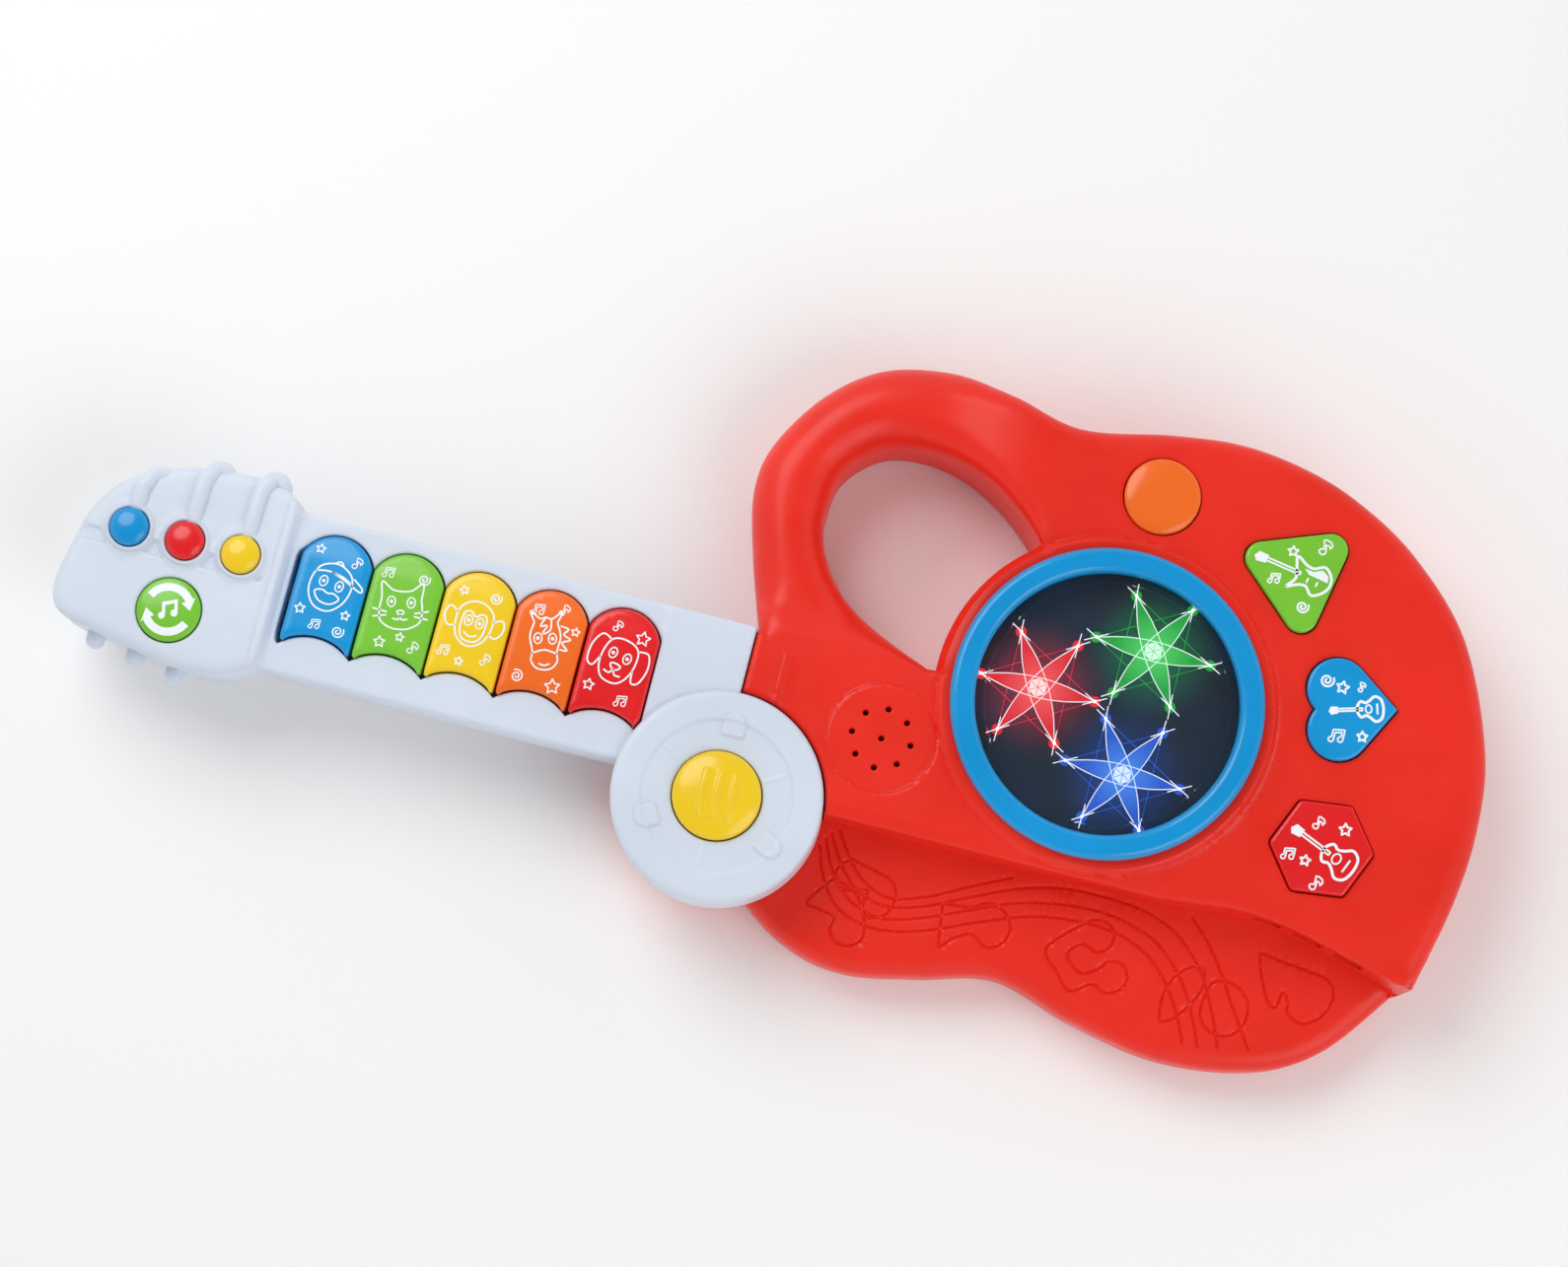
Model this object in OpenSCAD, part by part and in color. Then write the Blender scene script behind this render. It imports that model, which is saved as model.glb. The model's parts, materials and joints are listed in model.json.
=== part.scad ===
// Toy electric guitar with a folding neck, lying on its back, face up.
// X runs along the length (neck towards -X), Y across it, Z up, sizes in millimetres.
// The origin is the middle of the footprint, on the surface that the toy lies on.

/* [Body] */
// Height of the raised front plate above the back
plate_z = 40; // [36:1:44]
// Height of the sunken deck that the folded neck lies over
deck_z = 20; // [19:0.5:22]
// Height at which the two body shells meet
split_z = 10; // [8:0.5:12]
// Height of the carrying handle's top
handle_z = 37; // [32:1:38]
// Wall thickness of the body shells
wall = 2.5; // [2:0.1:3]
// Upper edge of the plate beside the neck
plate_top_y = 1; // [-2:0.5:2]
// Left edge of the plate, where it meets the opened neck
plate_left_x = -6; // [-8:0.5:-5]

/* [Neck] */
// Thickness of the neck from its underside to its face
neck_t = 19.4; // [18:0.2:19.6]
// Height of the headstock's face above the neck's face
head_step = 3; // [1:0.5:4]
// Width of the neck
neck_w = 49; // [45:1:50]
// Wall thickness of the neck shells
neck_wall = 2.2; // [1.8:0.1:2.5]
// Height of the neck's rear shell
neck_rear_h = 7.4; // [7:0.2:8]

/* [Fold hinge] */
// Radius of the round hinge disc
disc_r = 31.8; // [30:0.2:33]
// Height of the disc's cap above the neck's face
disc_h = 2.5; // [2:0.1:3]
// Radius of the hollow hinge post
post_r = 8; // [7:0.5:9]
// Radial running clearance around the post
post_gap = 0.05; // [0.02:0.01:0.1]
// Space around the disc and under the neck
swing_gap = 0.6; // [0.4:0.1:0.8]

/* [Keys] */
// Number of piano keys on the neck
key_count = 5; // [5:1:5]
// Distance from key to key
key_pitch = 22.3; // [22:0.1:22.5]
// Space between two keys
key_space = 0.7; // [0.6:0.1:1]
// How far a key goes down
key_travel = 1.4; // [1:0.1:1.5]
// Height of the key tops above the neck's face
key_proud = 2; // [1:0.5:3]

/* [Buttons] */
// How far a button goes down
button_travel = 1.8; // [1:0.1:2]
// Gap around a button in its hole
button_gap = 0.35; // [0.3:0.05:0.5]
// Radius of the three small headstock buttons
head_button_r = 5.8; // [5:0.1:6]
// Distance between the small headstock buttons
head_button_pitch = 17.3; // [17:0.1:18]
// Radius of the button with the circling arrows
arrows_r = 9.6; // [9:0.1:10]
// Radius of the button in the hinge disc
strum_r = 13.3; // [12:0.1:14]
// Radius of the round orange button
orange_r = 11.5; // [10:0.5:12]
// Corner radius of the hexagonal button's outline
hexagon_r = 15.6; // [14:0.1:16]

/* [Light window] */
// Outer radius of the bezel around the window
bezel_r = 47; // [46:0.5:48]
// Radius of the visible window
window_r = 39.5; // [38:0.5:40]
// Height of the bezel above the plate
bezel_h = 5; // [4:0.5:6]
// Radius of the body's rim around the bezel
rim_r = 52; // [51:0.5:53]

/* [Power] */
// Number of AA cells
cell_count = 3; // [2:1:3]
// Diameter of a cell
cell_d = 14.5; // [14:0.1:14.5]
// Length of a cell
cell_l = 50.5; // [49:0.5:51]
// How far the power switch slides
switch_travel = 6; // [3:0.5:8]

/* [Hidden] */
$fn = 96;

eps = 0.01;
hinge = [-5.5, -51.5];
window = [100.5, 4];
speaker = [37.7, -22.5];
neck_low_z = deck_z + swing_gap;
neck_z = neck_low_z + neck_t;
head_z = neck_z + head_step;
neck_split_z = neck_low_z + neck_rear_h;
neck_right_x = plate_left_x - 0.4;
neck_top_y = 1;
neck_low_y = neck_top_y - neck_w;
lug_r = disc_r - 2.5;
board_t = 1.6;
// From the underside of a button's hole to the end of its stem, and from there to the circuit board
stem_drop = 3.5;
dome_room = 2 * button_travel;
white_plastic = [0.82, 0.84, 0.88];
body_red = [0.93, 0.17, 0.13];
toy_blue = [0.08, 0.56, 0.84];
toy_green = [0.45, 0.76, 0.2];
toy_yellow = [0.95, 0.8, 0.14];
toy_orange = [0.96, 0.46, 0.17];
key_colours = [toy_blue, toy_green, toy_yellow, toy_orange, [0.88, 0.13, 0.15]];

// ---- outlines -------------------------------------------------------------

// A point on a smooth curve from b to c, with neighbours a and d
function blend(a, b, c, d, u) =
    0.5 * (2 * b + (c - a) * u + (2 * a - 5 * b + 4 * c - d) * u * u + (3 * b - a - 3 * c + d) * u * u * u);

// Open smooth curve through the points of p
function curve_through(p, steps = 4) = concat(
    [for (i = [0 : len(p) - 2]) for (k = [0 : steps - 1])
        blend(p[max(i - 1, 0)], p[i], p[i + 1], p[min(i + 2, len(p) - 1)], k / steps)],
    [p[len(p) - 1]]);

// Closed smooth curve through the points of p
function loop_through(p, steps = 4) =
    let (n = len(p))
    [for (i = [0 : n - 1]) for (k = [0 : steps - 1])
        blend(p[(i + n - 1) % n], p[i], p[(i + 1) % n], p[(i + 2) % n], k / steps)];

// Points of an arc, from angle a0 to angle a1
function arc(centre, r, a0, a1, steps = 12) =
    [for (i = [0 : steps]) let (a = a0 + (a1 - a0) * i / steps) centre + r * [cos(a), sin(a)]];

function unit(v) = v / norm(v);

// Outline p, anticlockwise, moved inwards by t
function inset(p, t) =
    let (n = len(p))
    [for (i = [0 : n - 1])
        let (d0 = unit(p[i] - p[(i + n - 1) % n]), d1 = unit(p[(i + 1) % n] - p[i]))
        p[i] + t * [-d0.y - d1.y, d0.x + d1.x] / (1 + d0 * d1)];

// Outline p, anticlockwise and convex, with its corners rounded to radius r
function rounded(p, r, steps = 6) =
    let (n = len(p))
    [for (i = [0 : n - 1])
        let (u = unit(p[(i + n - 1) % n] - p[i]), v = unit(p[(i + 1) % n] - p[i]), half = acos(u * v) / 2,
             c = p[i] + unit(u + v) * r / sin(half), start = atan2(u.x, -u.y))
        each arc(c, r, start, start + 180 - 2 * half, steps)];

function turned(p, a, shift = [0, 0]) =
    [for (q = p) shift + [q.x * cos(a) - q.y * sin(a), q.x * sin(a) + q.y * cos(a)]];

// Lower edge of the body, from under the hinge to the right corner
lower_edge = [[-6, -58], [9.5, -77.6], [26, -88], [44, -91.2], [66, -87.2], [89, -82], [114, -89],
              [142, -93.6], [170, -89.8], [189, -79], [205.5, -57.8]];
// Right, upper and handle edge of the body, from the right corner to the plate's left corner
upper_edge = [[208.5, -56], [214.8, -28], [216.8, -4], [213.6, 20], [200.3, 50.6], [180.3, 71.4], [160.6, 83.3],
              [142.4, 89.5], [122, 92], [101, 89.8], [73.5, 84.8], [51.5, 90], [32, 93.5], [11.5, 89.5],
              [-4.4, 77.4], [-16, 59], [-18.5, 44], [-14.5, 26], [-6, 1]];
body_outline = concat(curve_through(lower_edge), curve_through(upper_edge));

// Where the handle's own moulding ends and the plate takes over
handle_end_x = 46;

// Opening of the carrying handle, closed through the rim and the plate that cut across it
handle_loop = loop_through([[4.5, 43], [6.5, 32], [13, 21.5], [22.5, 13.5], [40, 4.3], [58, -1], [78, 10],
                            [80, 32], [69, 48], [57, 58.8], [44, 65.6], [30, 68], [16.5, 65.3], [6.6, 55.2]]);

// Wall between the raised plate and the sunken deck, with the relief for the folded headstock
deck_wall = curve_through([[128, -48.5], [140, -47.4], [152, -46.2], [165, -47], [180, -50], [210, -58]]);
deck_region = concat([[-80, -48.5]], deck_wall, [[260, -58], [260, -200], [-80, -200]]);

// Headstock, from the neck's upper edge round the end to its lower edge
head_edge = curve_through([[-146, 1], [-154, 6.5], [-165, 8], [-180, 6.8], [-192, 3], [-203, -3.5],
                           [-209.8, -14], [-213, -28], [-214.2, -36], [-213.6, -42], [-210.6, -46], [-204, -48.2],
                           [-190, -50.8], [-178, -53.2], [-168, -54], [-158, -53], [-149, neck_low_y]]);
neck_outline = concat([[neck_right_x, neck_low_y], [neck_right_x, neck_top_y]], head_edge);
head_right_x = -150;

// One key about x = 0: an arch at the top and a scalloped lower end
key_w = key_pitch - key_space;
key_arch_r = 11.5;
key_scallop_r = 17;
key_top_y = -3.5;
key_crest_y = -34.5;
key_first_x = -133.5;
key_mid_y = -19;
key_outline =
    let (a = asin(key_w / 2 / key_arch_r), b = asin(key_w / 2 / key_scallop_r))
    concat(arc([0, key_top_y - key_arch_r], key_arch_r, 90 - a, 90 + a),
           arc([0, key_crest_y - key_scallop_r], key_scallop_r, 90 + b, 90 - b));
function key_x(i) = key_first_x + i * key_pitch;

head_button_mid = [-178.9, -16.7];
function head_button_at(i) = head_button_mid + [(i - 1) * head_button_pitch, 0];
arrows_at = [-178.2, -38];
orange_at = [102, 69.5];
orange_outline = arc([0, 0], orange_r, 0, 352.5, 47);
triangle_outline = rounded([[125.9, 60.4], [153.8, 34.4], [161.6, 73.9]], 5);
heart_lobe_r = 9.3;
heart_outline =
    let (lobe = [0, 6.2], tip = [17.6, 0], reach = norm(tip - lobe),
         a = atan2(tip.y - lobe.y, tip.x - lobe.x) + acos(heart_lobe_r / reach),
         notch = 180 + asin(lobe.y / heart_lobe_r),
         upper = arc(lobe, heart_lobe_r, a, notch, 16),
         lower = [for (k = [len(upper) - 2 : -1 : 0]) [upper[k].x, -upper[k].y]])
    turned(concat([tip], upper, lower), 13.4, [167.8, 19.5]);
hexagon_outline =
    turned(rounded([for (i = [0 : 5]) hexagon_r * [cos(60 * i), sin(60 * i)]], 1.5, 3), 7, [172.3, -22.3]);

star_r = 21;
star_angles = [180, 62, -62];
function star_at(i) = window + star_r * [cos(star_angles[i]), sin(star_angles[i])];

plate_screw_at = [[128, 81], [203, 0], [199, -40], [8, -6]];
handle_screw_at = [[30, 79.5], [-7, 44]];
deck_screw_at = [[162, -78], [34, -78]];
body_screw_at = concat(plate_screw_at, handle_screw_at, deck_screw_at);
neck_screw_at = [[-204, -24], [-156, -30], [-150, -6], [-26, -8], [-20, -40], [8, -65]];

// Three studs on the headstock's lower side, and the slots that take them when the neck is folded
stud_at = [[-199.5, -48.9], [-186.5, -51.4], [-173.5, -53.7]];
stud_r = 3;
stud_len = 5;
stud_z = neck_split_z + stud_r;

// ---- shared solids --------------------------------------------------------

module slab(z0, z1) {
    translate([0, 0, z0]) linear_extrude(z1 - z0) children();
}

module at(p, z = 0) {
    translate([p.x, p.y, z]) children();
}

module tube(r, bore, h) {
    difference() {
        cylinder(r = r, h = h);
        translate([0, 0, -1]) cylinder(r = bore, h = h + 2);
    }
}

// Opening of the handle, made smaller by t on every side
module handle_opening(t) {
    difference() {
        polygon(inset(handle_loop, t));
        translate(window) circle(r = rim_r + t);
        translate([-50, plate_top_y + t - 40]) square([150, 40]);
    }
}

// Footprint of the whole body, drawn in by t
module body_footprint(t) {
    difference() {
        union() {
            polygon(inset(body_outline, t));
            translate(hinge) circle(r = lug_r - t);
        }
        handle_opening(-t);
    }
}

// Footprint of the raised plate and the handle, drawn in by t
module plate_footprint(t) {
    difference() {
        body_footprint(t);
        polygon(inset(deck_region, t));
        translate(hinge) circle(r = disc_r + swing_gap + t);
        translate([plate_left_x + t - 60, -90]) square([60, 90 + plate_top_y]);
    }
}

// Footprint of the sunken deck, with the lug under the hinge disc
module deck_footprint() {
    intersection() {
        body_footprint(0);
        union() {
            polygon(deck_region);
            translate(hinge) circle(r = disc_r + swing_gap);
        }
    }
}

// Space over the carrying handle, drawn out by t towards the plate and downwards
module above_handle(t) {
    translate([-40, plate_top_y - t, handle_z - t]) cube([handle_end_x + t + 40, 120, 60]);
}

// Space that the handle's front moulding fills, cut off from the plate's
module handle_side() {
    translate([-40, plate_top_y, 0]) cube([handle_end_x + 40, 120, 60]);
}

// The body's outer form, drawn in by t on every side
module body_form(t) {
    difference() {
        union() {
            slab(t, deck_z - t) body_footprint(t);
            slab(t, plate_z - t) plate_footprint(t);
        }
        above_handle(t);
    }
}

module neck_footprint(t) {
    union() {
        polygon(inset(neck_outline, t));
        translate(hinge) circle(r = disc_r - t);
    }
}

// The neck's outer form, drawn in by t on every side
module neck_form(t) {
    union() {
        slab(neck_low_z + t, neck_z - t) neck_footprint(t);
        slab(neck_low_z + t, head_z - t) intersection() {
            polygon(inset(neck_outline, t));
            translate([head_right_x - t - 100, -80]) square([100, 120]);
        }
    }
}

module below(z) {
    intersection() {
        children();
        translate([-300, -200, z - 200]) cube([600, 400, 200]);
    }
}

module above(z) {
    intersection() {
        children();
        translate([-300, -200, z]) cube([600, 400, 200]);
    }
}

// Countersunk self-tapping screw, head down at z = 0
module screw(length, head_r = 2.8, shank_r = 1.2) {
    cylinder(r = head_r, h = 1.8);
    translate([0, 0, 1.8 - eps]) cylinder(r = shank_r, h = length - 1.8);
}

// Push-button cap with a domed top, a retaining flange and a stem
module button(outline, hole_low_z, face_z, dome_h, stem_r) {
    flange_z = hole_low_z - stem_drop + 1;
    slab(flange_z, face_z) polygon(outline);
    slab(flange_z, flange_z + 2.2) polygon(inset(outline, -1.4));
    slab(face_z - eps, face_z + dome_h) polygon(inset(outline, 1.2));
    slab(flange_z - 1, flange_z + eps) translate(middle(outline)) circle(r = stem_r);
}

function middle(p) = [for (v = p) 1] * p / len(p);

module round_button(at_point, r, hole_low_z, face_z, dome_h, stem_r) {
    flange_z = hole_low_z - stem_drop + 1;
    cap_r = (r * r + dome_h * dome_h) / (2 * dome_h);
    at(at_point, flange_z) cylinder(r = r, h = face_z - flange_z);
    at(at_point, flange_z) cylinder(r = r + 1.4, h = 2.2);
    at(at_point, flange_z - 1) cylinder(r = stem_r, h = 1 + eps);
    at(at_point) intersection() {
        translate([0, 0, face_z + dome_h - cap_r]) sphere(r = cap_r);
        translate([0, 0, face_z - eps]) cylinder(r = r, h = dome_h + 1);
    }
}

// Wire swept along a smooth route, as one tube with flat ends
module wire(route, r, sides = 8) {
    path = curve_through(route, 3);
    last = len(path) - 1;
    rings = [for (i = [0 : last])
        let (ahead = unit(path[min(i + 1, last)] - path[max(i - 1, 0)]),
             across = unit(cross(ahead, [0.3, 0.2, 1])), up = cross(across, ahead))
        [for (k = [0 : sides - 1]) let (a = 360 * k / sides) path[i] + r * (cos(a) * across + sin(a) * up)]];
    walls = [for (i = [0 : last - 1]) for (k = [0 : sides - 1])
        let (a = i * sides + k, b = i * sides + (k + 1) % sides) [a, b, b + sides, a + sides]];
    caps = [[for (k = [sides - 1 : -1 : 0]) k], [for (k = [0 : sides - 1]) last * sides + k]];
    polyhedron([for (ring = rings) each ring], concat(walls, caps));
}

// ---- body -----------------------------------------------------------------

module screw_posts(places, r, z0, z1, bore) {
    for (p = places)
        at(p, z0) tube(r, bore, z1 - z0);
}

// Screw posts that hang from the inside of a front moulding whose top is at face_z
module front_posts(places, face_z) {
    screw_posts(places, 3.6, split_z, face_z - wall + 0.5, 1.25);
}

// Slots through the deck wall, where the headstock's studs lie when the neck is folded
module stud_slots() {
    for (s = stud_at)
        at(2 * hinge - s, stud_z - 4) translate([-4.5, -1, 0]) cube([9, 9, 8]);
}

module speaker_holes() {
    at(speaker, plate_z - wall - 1) cylinder(r = 0.9, h = wall + 2, $fn = 24);
    for (a = [0 : 45 : 315])
        at(speaker, plate_z - wall - 1) rotate(a) translate([9, 0, 0]) cylinder(r = 0.9, h = wall + 2, $fn = 24);
}

// Raised plate with the speaker grille and the holes for the window and the buttons
module body_front_shell() {
    rib = [[3, -20.5], [6, -20.5], [6, -4.5], [3, -4.5]];
    color(body_red) {
        difference() {
            slab(split_z, plate_z) plate_footprint(0);
            handle_side();
            body_form(wall);
            slab(plate_z - wall - 1, plate_z + 1) {
                translate(window) circle(r = bezel_r - 2.8);
                translate(orange_at) circle(r = orange_r + button_gap);
                polygon(inset(triangle_outline, -button_gap));
                polygon(inset(heart_outline, -button_gap));
                polygon(inset(hexagon_outline, -button_gap));
            }
            speaker_holes();
            stud_slots();
        }
        slab(plate_z - eps, plate_z + 0.8) polygon(rounded(rib, 1.45));
        front_posts(plate_screw_at, plate_z);
    }
}

// Front half of the carrying handle
module handle_front_shell() {
    color(body_red) {
        difference() {
            intersection() {
                slab(split_z, handle_z) plate_footprint(0);
                handle_side();
            }
            body_form(wall);
        }
        front_posts(handle_screw_at, handle_z);
    }
}

// Sunken deck under the folded neck, with the seat of the hinge post
module deck_shell() {
    color(body_red) {
        difference() {
            slab(split_z, deck_z) deck_footprint();
            body_form(wall);
            at(hinge, deck_z - wall - 1) cylinder(r = post_r + post_gap, h = wall + 2);
            for (a = [60, 180, 300])
                at(hinge, deck_z - wall - 1) rotate(a) translate([12, 0, 0]) cylinder(r = 1.2, h = wall + 2);
        }
        front_posts(deck_screw_at, deck_z);
    }
}

tray_l = cell_l + 9;
tray_w = cell_count * (cell_d + 0.7) + 0.4;
tray_at = [62, -41];
tray_z = wall + cell_d + 1.6;
door_screw_at = tray_at + [tray_l + 3.6, tray_w / 2];

module battery_bay() {
    at(tray_at, -1) cube([tray_l, tray_w, tray_z + 1]);
}

module body_rear_shell() {
    switch_slot = [switch_travel + 6, 5];
    color(body_red) difference() {
        union() {
            difference() {
                below(split_z) body_form(0);
                body_form(wall);
            }
            at(tray_at - [1.6, 1.6], 0) cube([tray_l + 3.2, tray_w + 3.2, tray_z + 1.6]);
            screw_posts(body_screw_at, 4.6, 0, split_z, 1.35);
            at(door_screw_at, 0) cylinder(r = 4.4, h = 8);
        }
        battery_bay();
        at(tray_at + [-1.6 - 3, tray_w / 2 - 5], 1.4) cube([5, 10, 1.2]);
        at(tray_at - [1 + 0.3, 1 + 0.3], -1) cube([tray_l + 2.6, tray_w + 2.6, 1 + 1.8]);
        at(tray_at + [tray_l + 1.2, tray_w / 2], -1) cylinder(r = 3.4, h = 2.8);
        at(door_screw_at, -1) cylinder(r = 1.35, h = 8);
        at(door_screw_at, -1) cylinder(r = 6, h = 2.8);
        for (p = body_screw_at)
            at(p, -1) cylinder(r = 3.2, h = 5);
        at(switch_at - switch_slot / 2, -1) cube([switch_slot.x, switch_slot.y, wall + 2]);
        at(switch_at - switch_slot / 2 - [3, 3], -1) cube([switch_slot.x + 6, switch_slot.y + 6, 1.8]);
    }
}

module body_screws() {
    color("silver") for (p = body_screw_at)
        at(p, 2.2) screw(p.y < -70 ? 13 : 20);
}

// Battery door with its rounded screw tab
module battery_door() {
    color(body_red) difference() {
        union() {
            at(tray_at - [1, 1], 0.2) cube([tray_l + 2, tray_w + 2, 1.5]);
            at(door_screw_at, 0.2) cylinder(r = 5.6, h = 1.5);
            at(tray_at + [-4, tray_w / 2 - 4.5], 1.5) cube([6, 9, 0.9]);
            for (i = [1 : cell_count - 1])
                at(tray_at + [4, i * tray_w / cell_count - 0.4], 1.7 - eps) cube([tray_l - 8, 0.8, 1.2]);
        }
        at(door_screw_at, -1) cylinder(r = 1.4, h = 8);
        for (i = [0 : 4])
            at(tray_at + [tray_l - 12 + 2 * i, tray_w / 2 - 8], 0) cube([1, 16, 0.6]);
    }
}

module battery_door_screw() {
    color("silver") at(door_screw_at) {
        cylinder(r = 2.6, h = 0.2);
        cylinder(r = 1.25, h = 6.5);
    }
}

function cell_y(i) = tray_at.y + 0.2 + (i + 0.5) * (tray_w - 0.4) / cell_count;
cell_mid_z = wall + 0.6 + cell_d / 2;

module battery_cells() {
    color("dimgray") for (i = [0 : cell_count - 1])
        translate([tray_at.x + 4.6, cell_y(i), cell_mid_z]) rotate([0, 90, 0]) {
            cylinder(r = cell_d / 2, h = cell_l - 1.2);
            translate([0, 0, cell_l - 1.2 - eps]) cylinder(r = 2.7, h = 1.2);
        }
}

// Coil contact springs at the flat ends of the cells, drawn as bellows
module battery_springs() {
    zigzag = [for (k = [0 : 5]) [k % 2 == 0 ? 4.2 : 3.2, k * 0.6]];
    profile = concat(zigzag, [for (k = [5 : -1 : 0]) zigzag[k] - [0.8, 0]]);
    color("silver") for (i = [0 : cell_count - 1])
        translate([tray_at.x + 1.4, cell_y(i), cell_mid_z]) rotate([0, 90, 0]) rotate_extrude() polygon(profile);
}

module battery_contacts() {
    color("gold") for (i = [0 : cell_count - 1]) {
        translate([tray_at.x + 0.8, cell_y(i) - 5, wall + 2]) cube([0.5, 10, 11]);
        translate([tray_at.x + 5 + cell_l, cell_y(i) - 5, wall + 2]) cube([0.5, 10, 11]);
    }
}

switch_at = [150, 62];

// Slide switch: its knob sits in a slot of the rear shell
module switch_knob() {
    w = [5.2, 4.2];
    start = switch_at - [switch_travel / 2, 0];
    color("black") {
        at(start - w / 2, 0.9) cube([w.x, w.y, 3]);
        at(start - [4, 3.6], wall + 0.3) cube([8, 7.2, 1.2]);
        for (k = [-1 : 1])
            at(start + [k * 1.5 - 0.3, -w.y / 2], 0.4) cube([0.6, w.y, 0.6]);
    }
}

module switch_housing() {
    color("gray") at(switch_at - [11, 6], 0) difference() {
        translate([0, 0, wall]) cube([22, 12, 7]);
        translate([1.5, 1.5, wall - 1]) cube([19, 9, 1 + 2.2]);
    }
}

// ---- light window ---------------------------------------------------------

module window_bezel() {
    mid_r = (bezel_r + window_r) / 2;
    half = (bezel_r - window_r) / 2;
    top = arc([mid_r, plate_z + bezel_h - half * 0.8], half, 0, 180, 12);
    profile = concat([[window_r + 1.2, plate_z - 4], [bezel_r - 3, plate_z - 4], [bezel_r - 3, plate_z],
                      [bezel_r, plate_z]],
                     [for (q = top) [q.x, min(plate_z + bezel_h, q.y)]],
                     [[window_r, plate_z + 0.6], [window_r + 1.2, plate_z + 0.6]]);
    color(toy_blue) at(window) rotate_extrude($fn = 128) polygon(profile);
}

module window_lens() {
    edge_r = window_r + 1.1;
    dome_r = window_r - 3;
    rise = 2.6;
    ball = (dome_r * dome_r + rise * rise) / (2 * rise);
    a = asin(dome_r / ball);
    base = plate_z + 0.6;
    profile = concat([[0, base - 2.5], [edge_r, base - 2.5], [edge_r, base]],
                     arc([0, base + rise - ball], ball, 90 - a, 90, 10));
    color([0.05, 0.08, 0.15, 0.6]) at(window) rotate_extrude($fn = 128) polygon(profile);
}

module star(tip_r, waist_r) {
    polygon([for (k = [0 : 11]) (k % 2 == 0 ? tip_r : waist_r) * [cos(30 * k), sin(30 * k)]]);
}

module star_panel() {
    color([0.08, 0.1, 0.2]) difference() {
        at(window, plate_z - 6) cylinder(r = window_r + 1, h = 1.2);
        for (i = [0 : 2])
            at(star_at(i), plate_z - 7) cylinder(r = 3.2, h = 3);
    }
    color("white") for (i = [0 : 2])
        at(star_at(i), plate_z - 4.8 - eps) linear_extrude(0.5) difference() {
            star(17.5, 4.6);
            circle(r = 3.2);
        }
}

light_board_z = plate_z - 13;

module light_board() {
    color("darkgreen") at(window, light_board_z) cylinder(r = 36, h = board_t);
}

module led(i) {
    at(star_at(i), light_board_z + board_t) {
        cylinder(r = 2.9, h = 1);
        cylinder(r = 2.5, h = 3.4);
        translate([0, 0, 3.4]) intersection() {
            sphere(r = 2.5);
            cylinder(r = 3, h = 3);
        }
    }
}

module led_red() {
    color([1, 0.3, 0.3]) led(0);
}

module led_green() {
    color([0.3, 1, 0.4]) led(1);
}

module led_blue() {
    color([0.3, 0.5, 1]) led(2);
}

// ---- speaker --------------------------------------------------------------

speaker_r = 16.5;
speaker_top_z = plate_z - wall;

module speaker_basket() {
    z = speaker_top_z;
    profile = [[speaker_r - 3, z - 1.5], [speaker_r - 3, z - 0.1], [speaker_r, z - 0.1], [speaker_r, z - 1.5],
               [speaker_r - 1, z - 1.5], [9.5, z - 9], [9.5, z - 10], [5, z - 10], [5, z - 9], [8.6, z - 9],
               [speaker_r - 2, z - 1.5]];
    color("silver") at(speaker) rotate_extrude() polygon(profile);
}

module speaker_magnet() {
    color("darkgray") at(speaker, speaker_top_z - 15) tube(9, 1.5, 5);
}

module speaker_cone() {
    z = speaker_top_z;
    profile = [[0, z - 7], [4.4, z - 7], [4.4, z - 6.4], [speaker_r - 3.6, z - 1.4], [speaker_r - 3.6, z - 0.9],
               [4, z - 5.6], [2, z - 4.6], [0, z - 4.3]];
    color("black") at(speaker) rotate_extrude() polygon(profile);
}

// ---- electronics in the body ----------------------------------------------

main_board_z = 11;

module main_board() {
    color("darkgreen") difference() {
        translate([60, -78, main_board_z]) cube([90, 22, board_t]);
        for (x = [64, 146])
            translate([x, -67, main_board_z - 1]) cylinder(r = 1.5, h = 4);
    }
}

module sound_chip() {
    color("black") translate([100, -67, main_board_z + board_t]) {
        cylinder(r = 6, h = 0.8);
        translate([0, 0, 0.8 - eps]) cylinder(r1 = 6, r2 = 3, h = 1.4);
    }
}

button_board_z = plate_z - wall - stem_drop - dome_room - board_t;
body_dome_at = [orange_at, middle(triangle_outline), middle(heart_outline), middle(hexagon_outline)];

// Circuit board that curves around the window, under the four body buttons
module button_board() {
    color("darkgreen") slab(button_board_z, button_board_z + board_t) difference() {
        polygon(concat(arc(window, 82, -28, 96, 24), arc(window, 54, 96, -28, 24)));
        translate(plate_screw_at[0]) circle(r = 5);
    }
}

module button_domes() {
    color("gainsboro") for (p = body_dome_at)
        at(p, button_board_z + board_t) cylinder(r = 4, h = dome_room - 0.1);
}

module speaker_leads() {
    color("red") for (k = [0, 1])
        wire([[speaker.x + 9 + 2 * k, speaker.y - 6, 26], [50 + 2 * k, -38, 16], [56 + 2 * k, -52, 15],
              [66 + 2 * k, -62, main_board_z + board_t + 0.7]], 0.6);
}

module battery_leads() {
    color("black") for (k = [0, 1])
        wire([[tray_at.x + tray_l + 2.5, -34 + 4 * k, 8], [128 + 2 * k, -46, 7.5],
              [134 + 2 * k, -60, 7.5], [134 + 2 * k, -66, main_board_z - 0.7]], 0.6);
}

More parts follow.
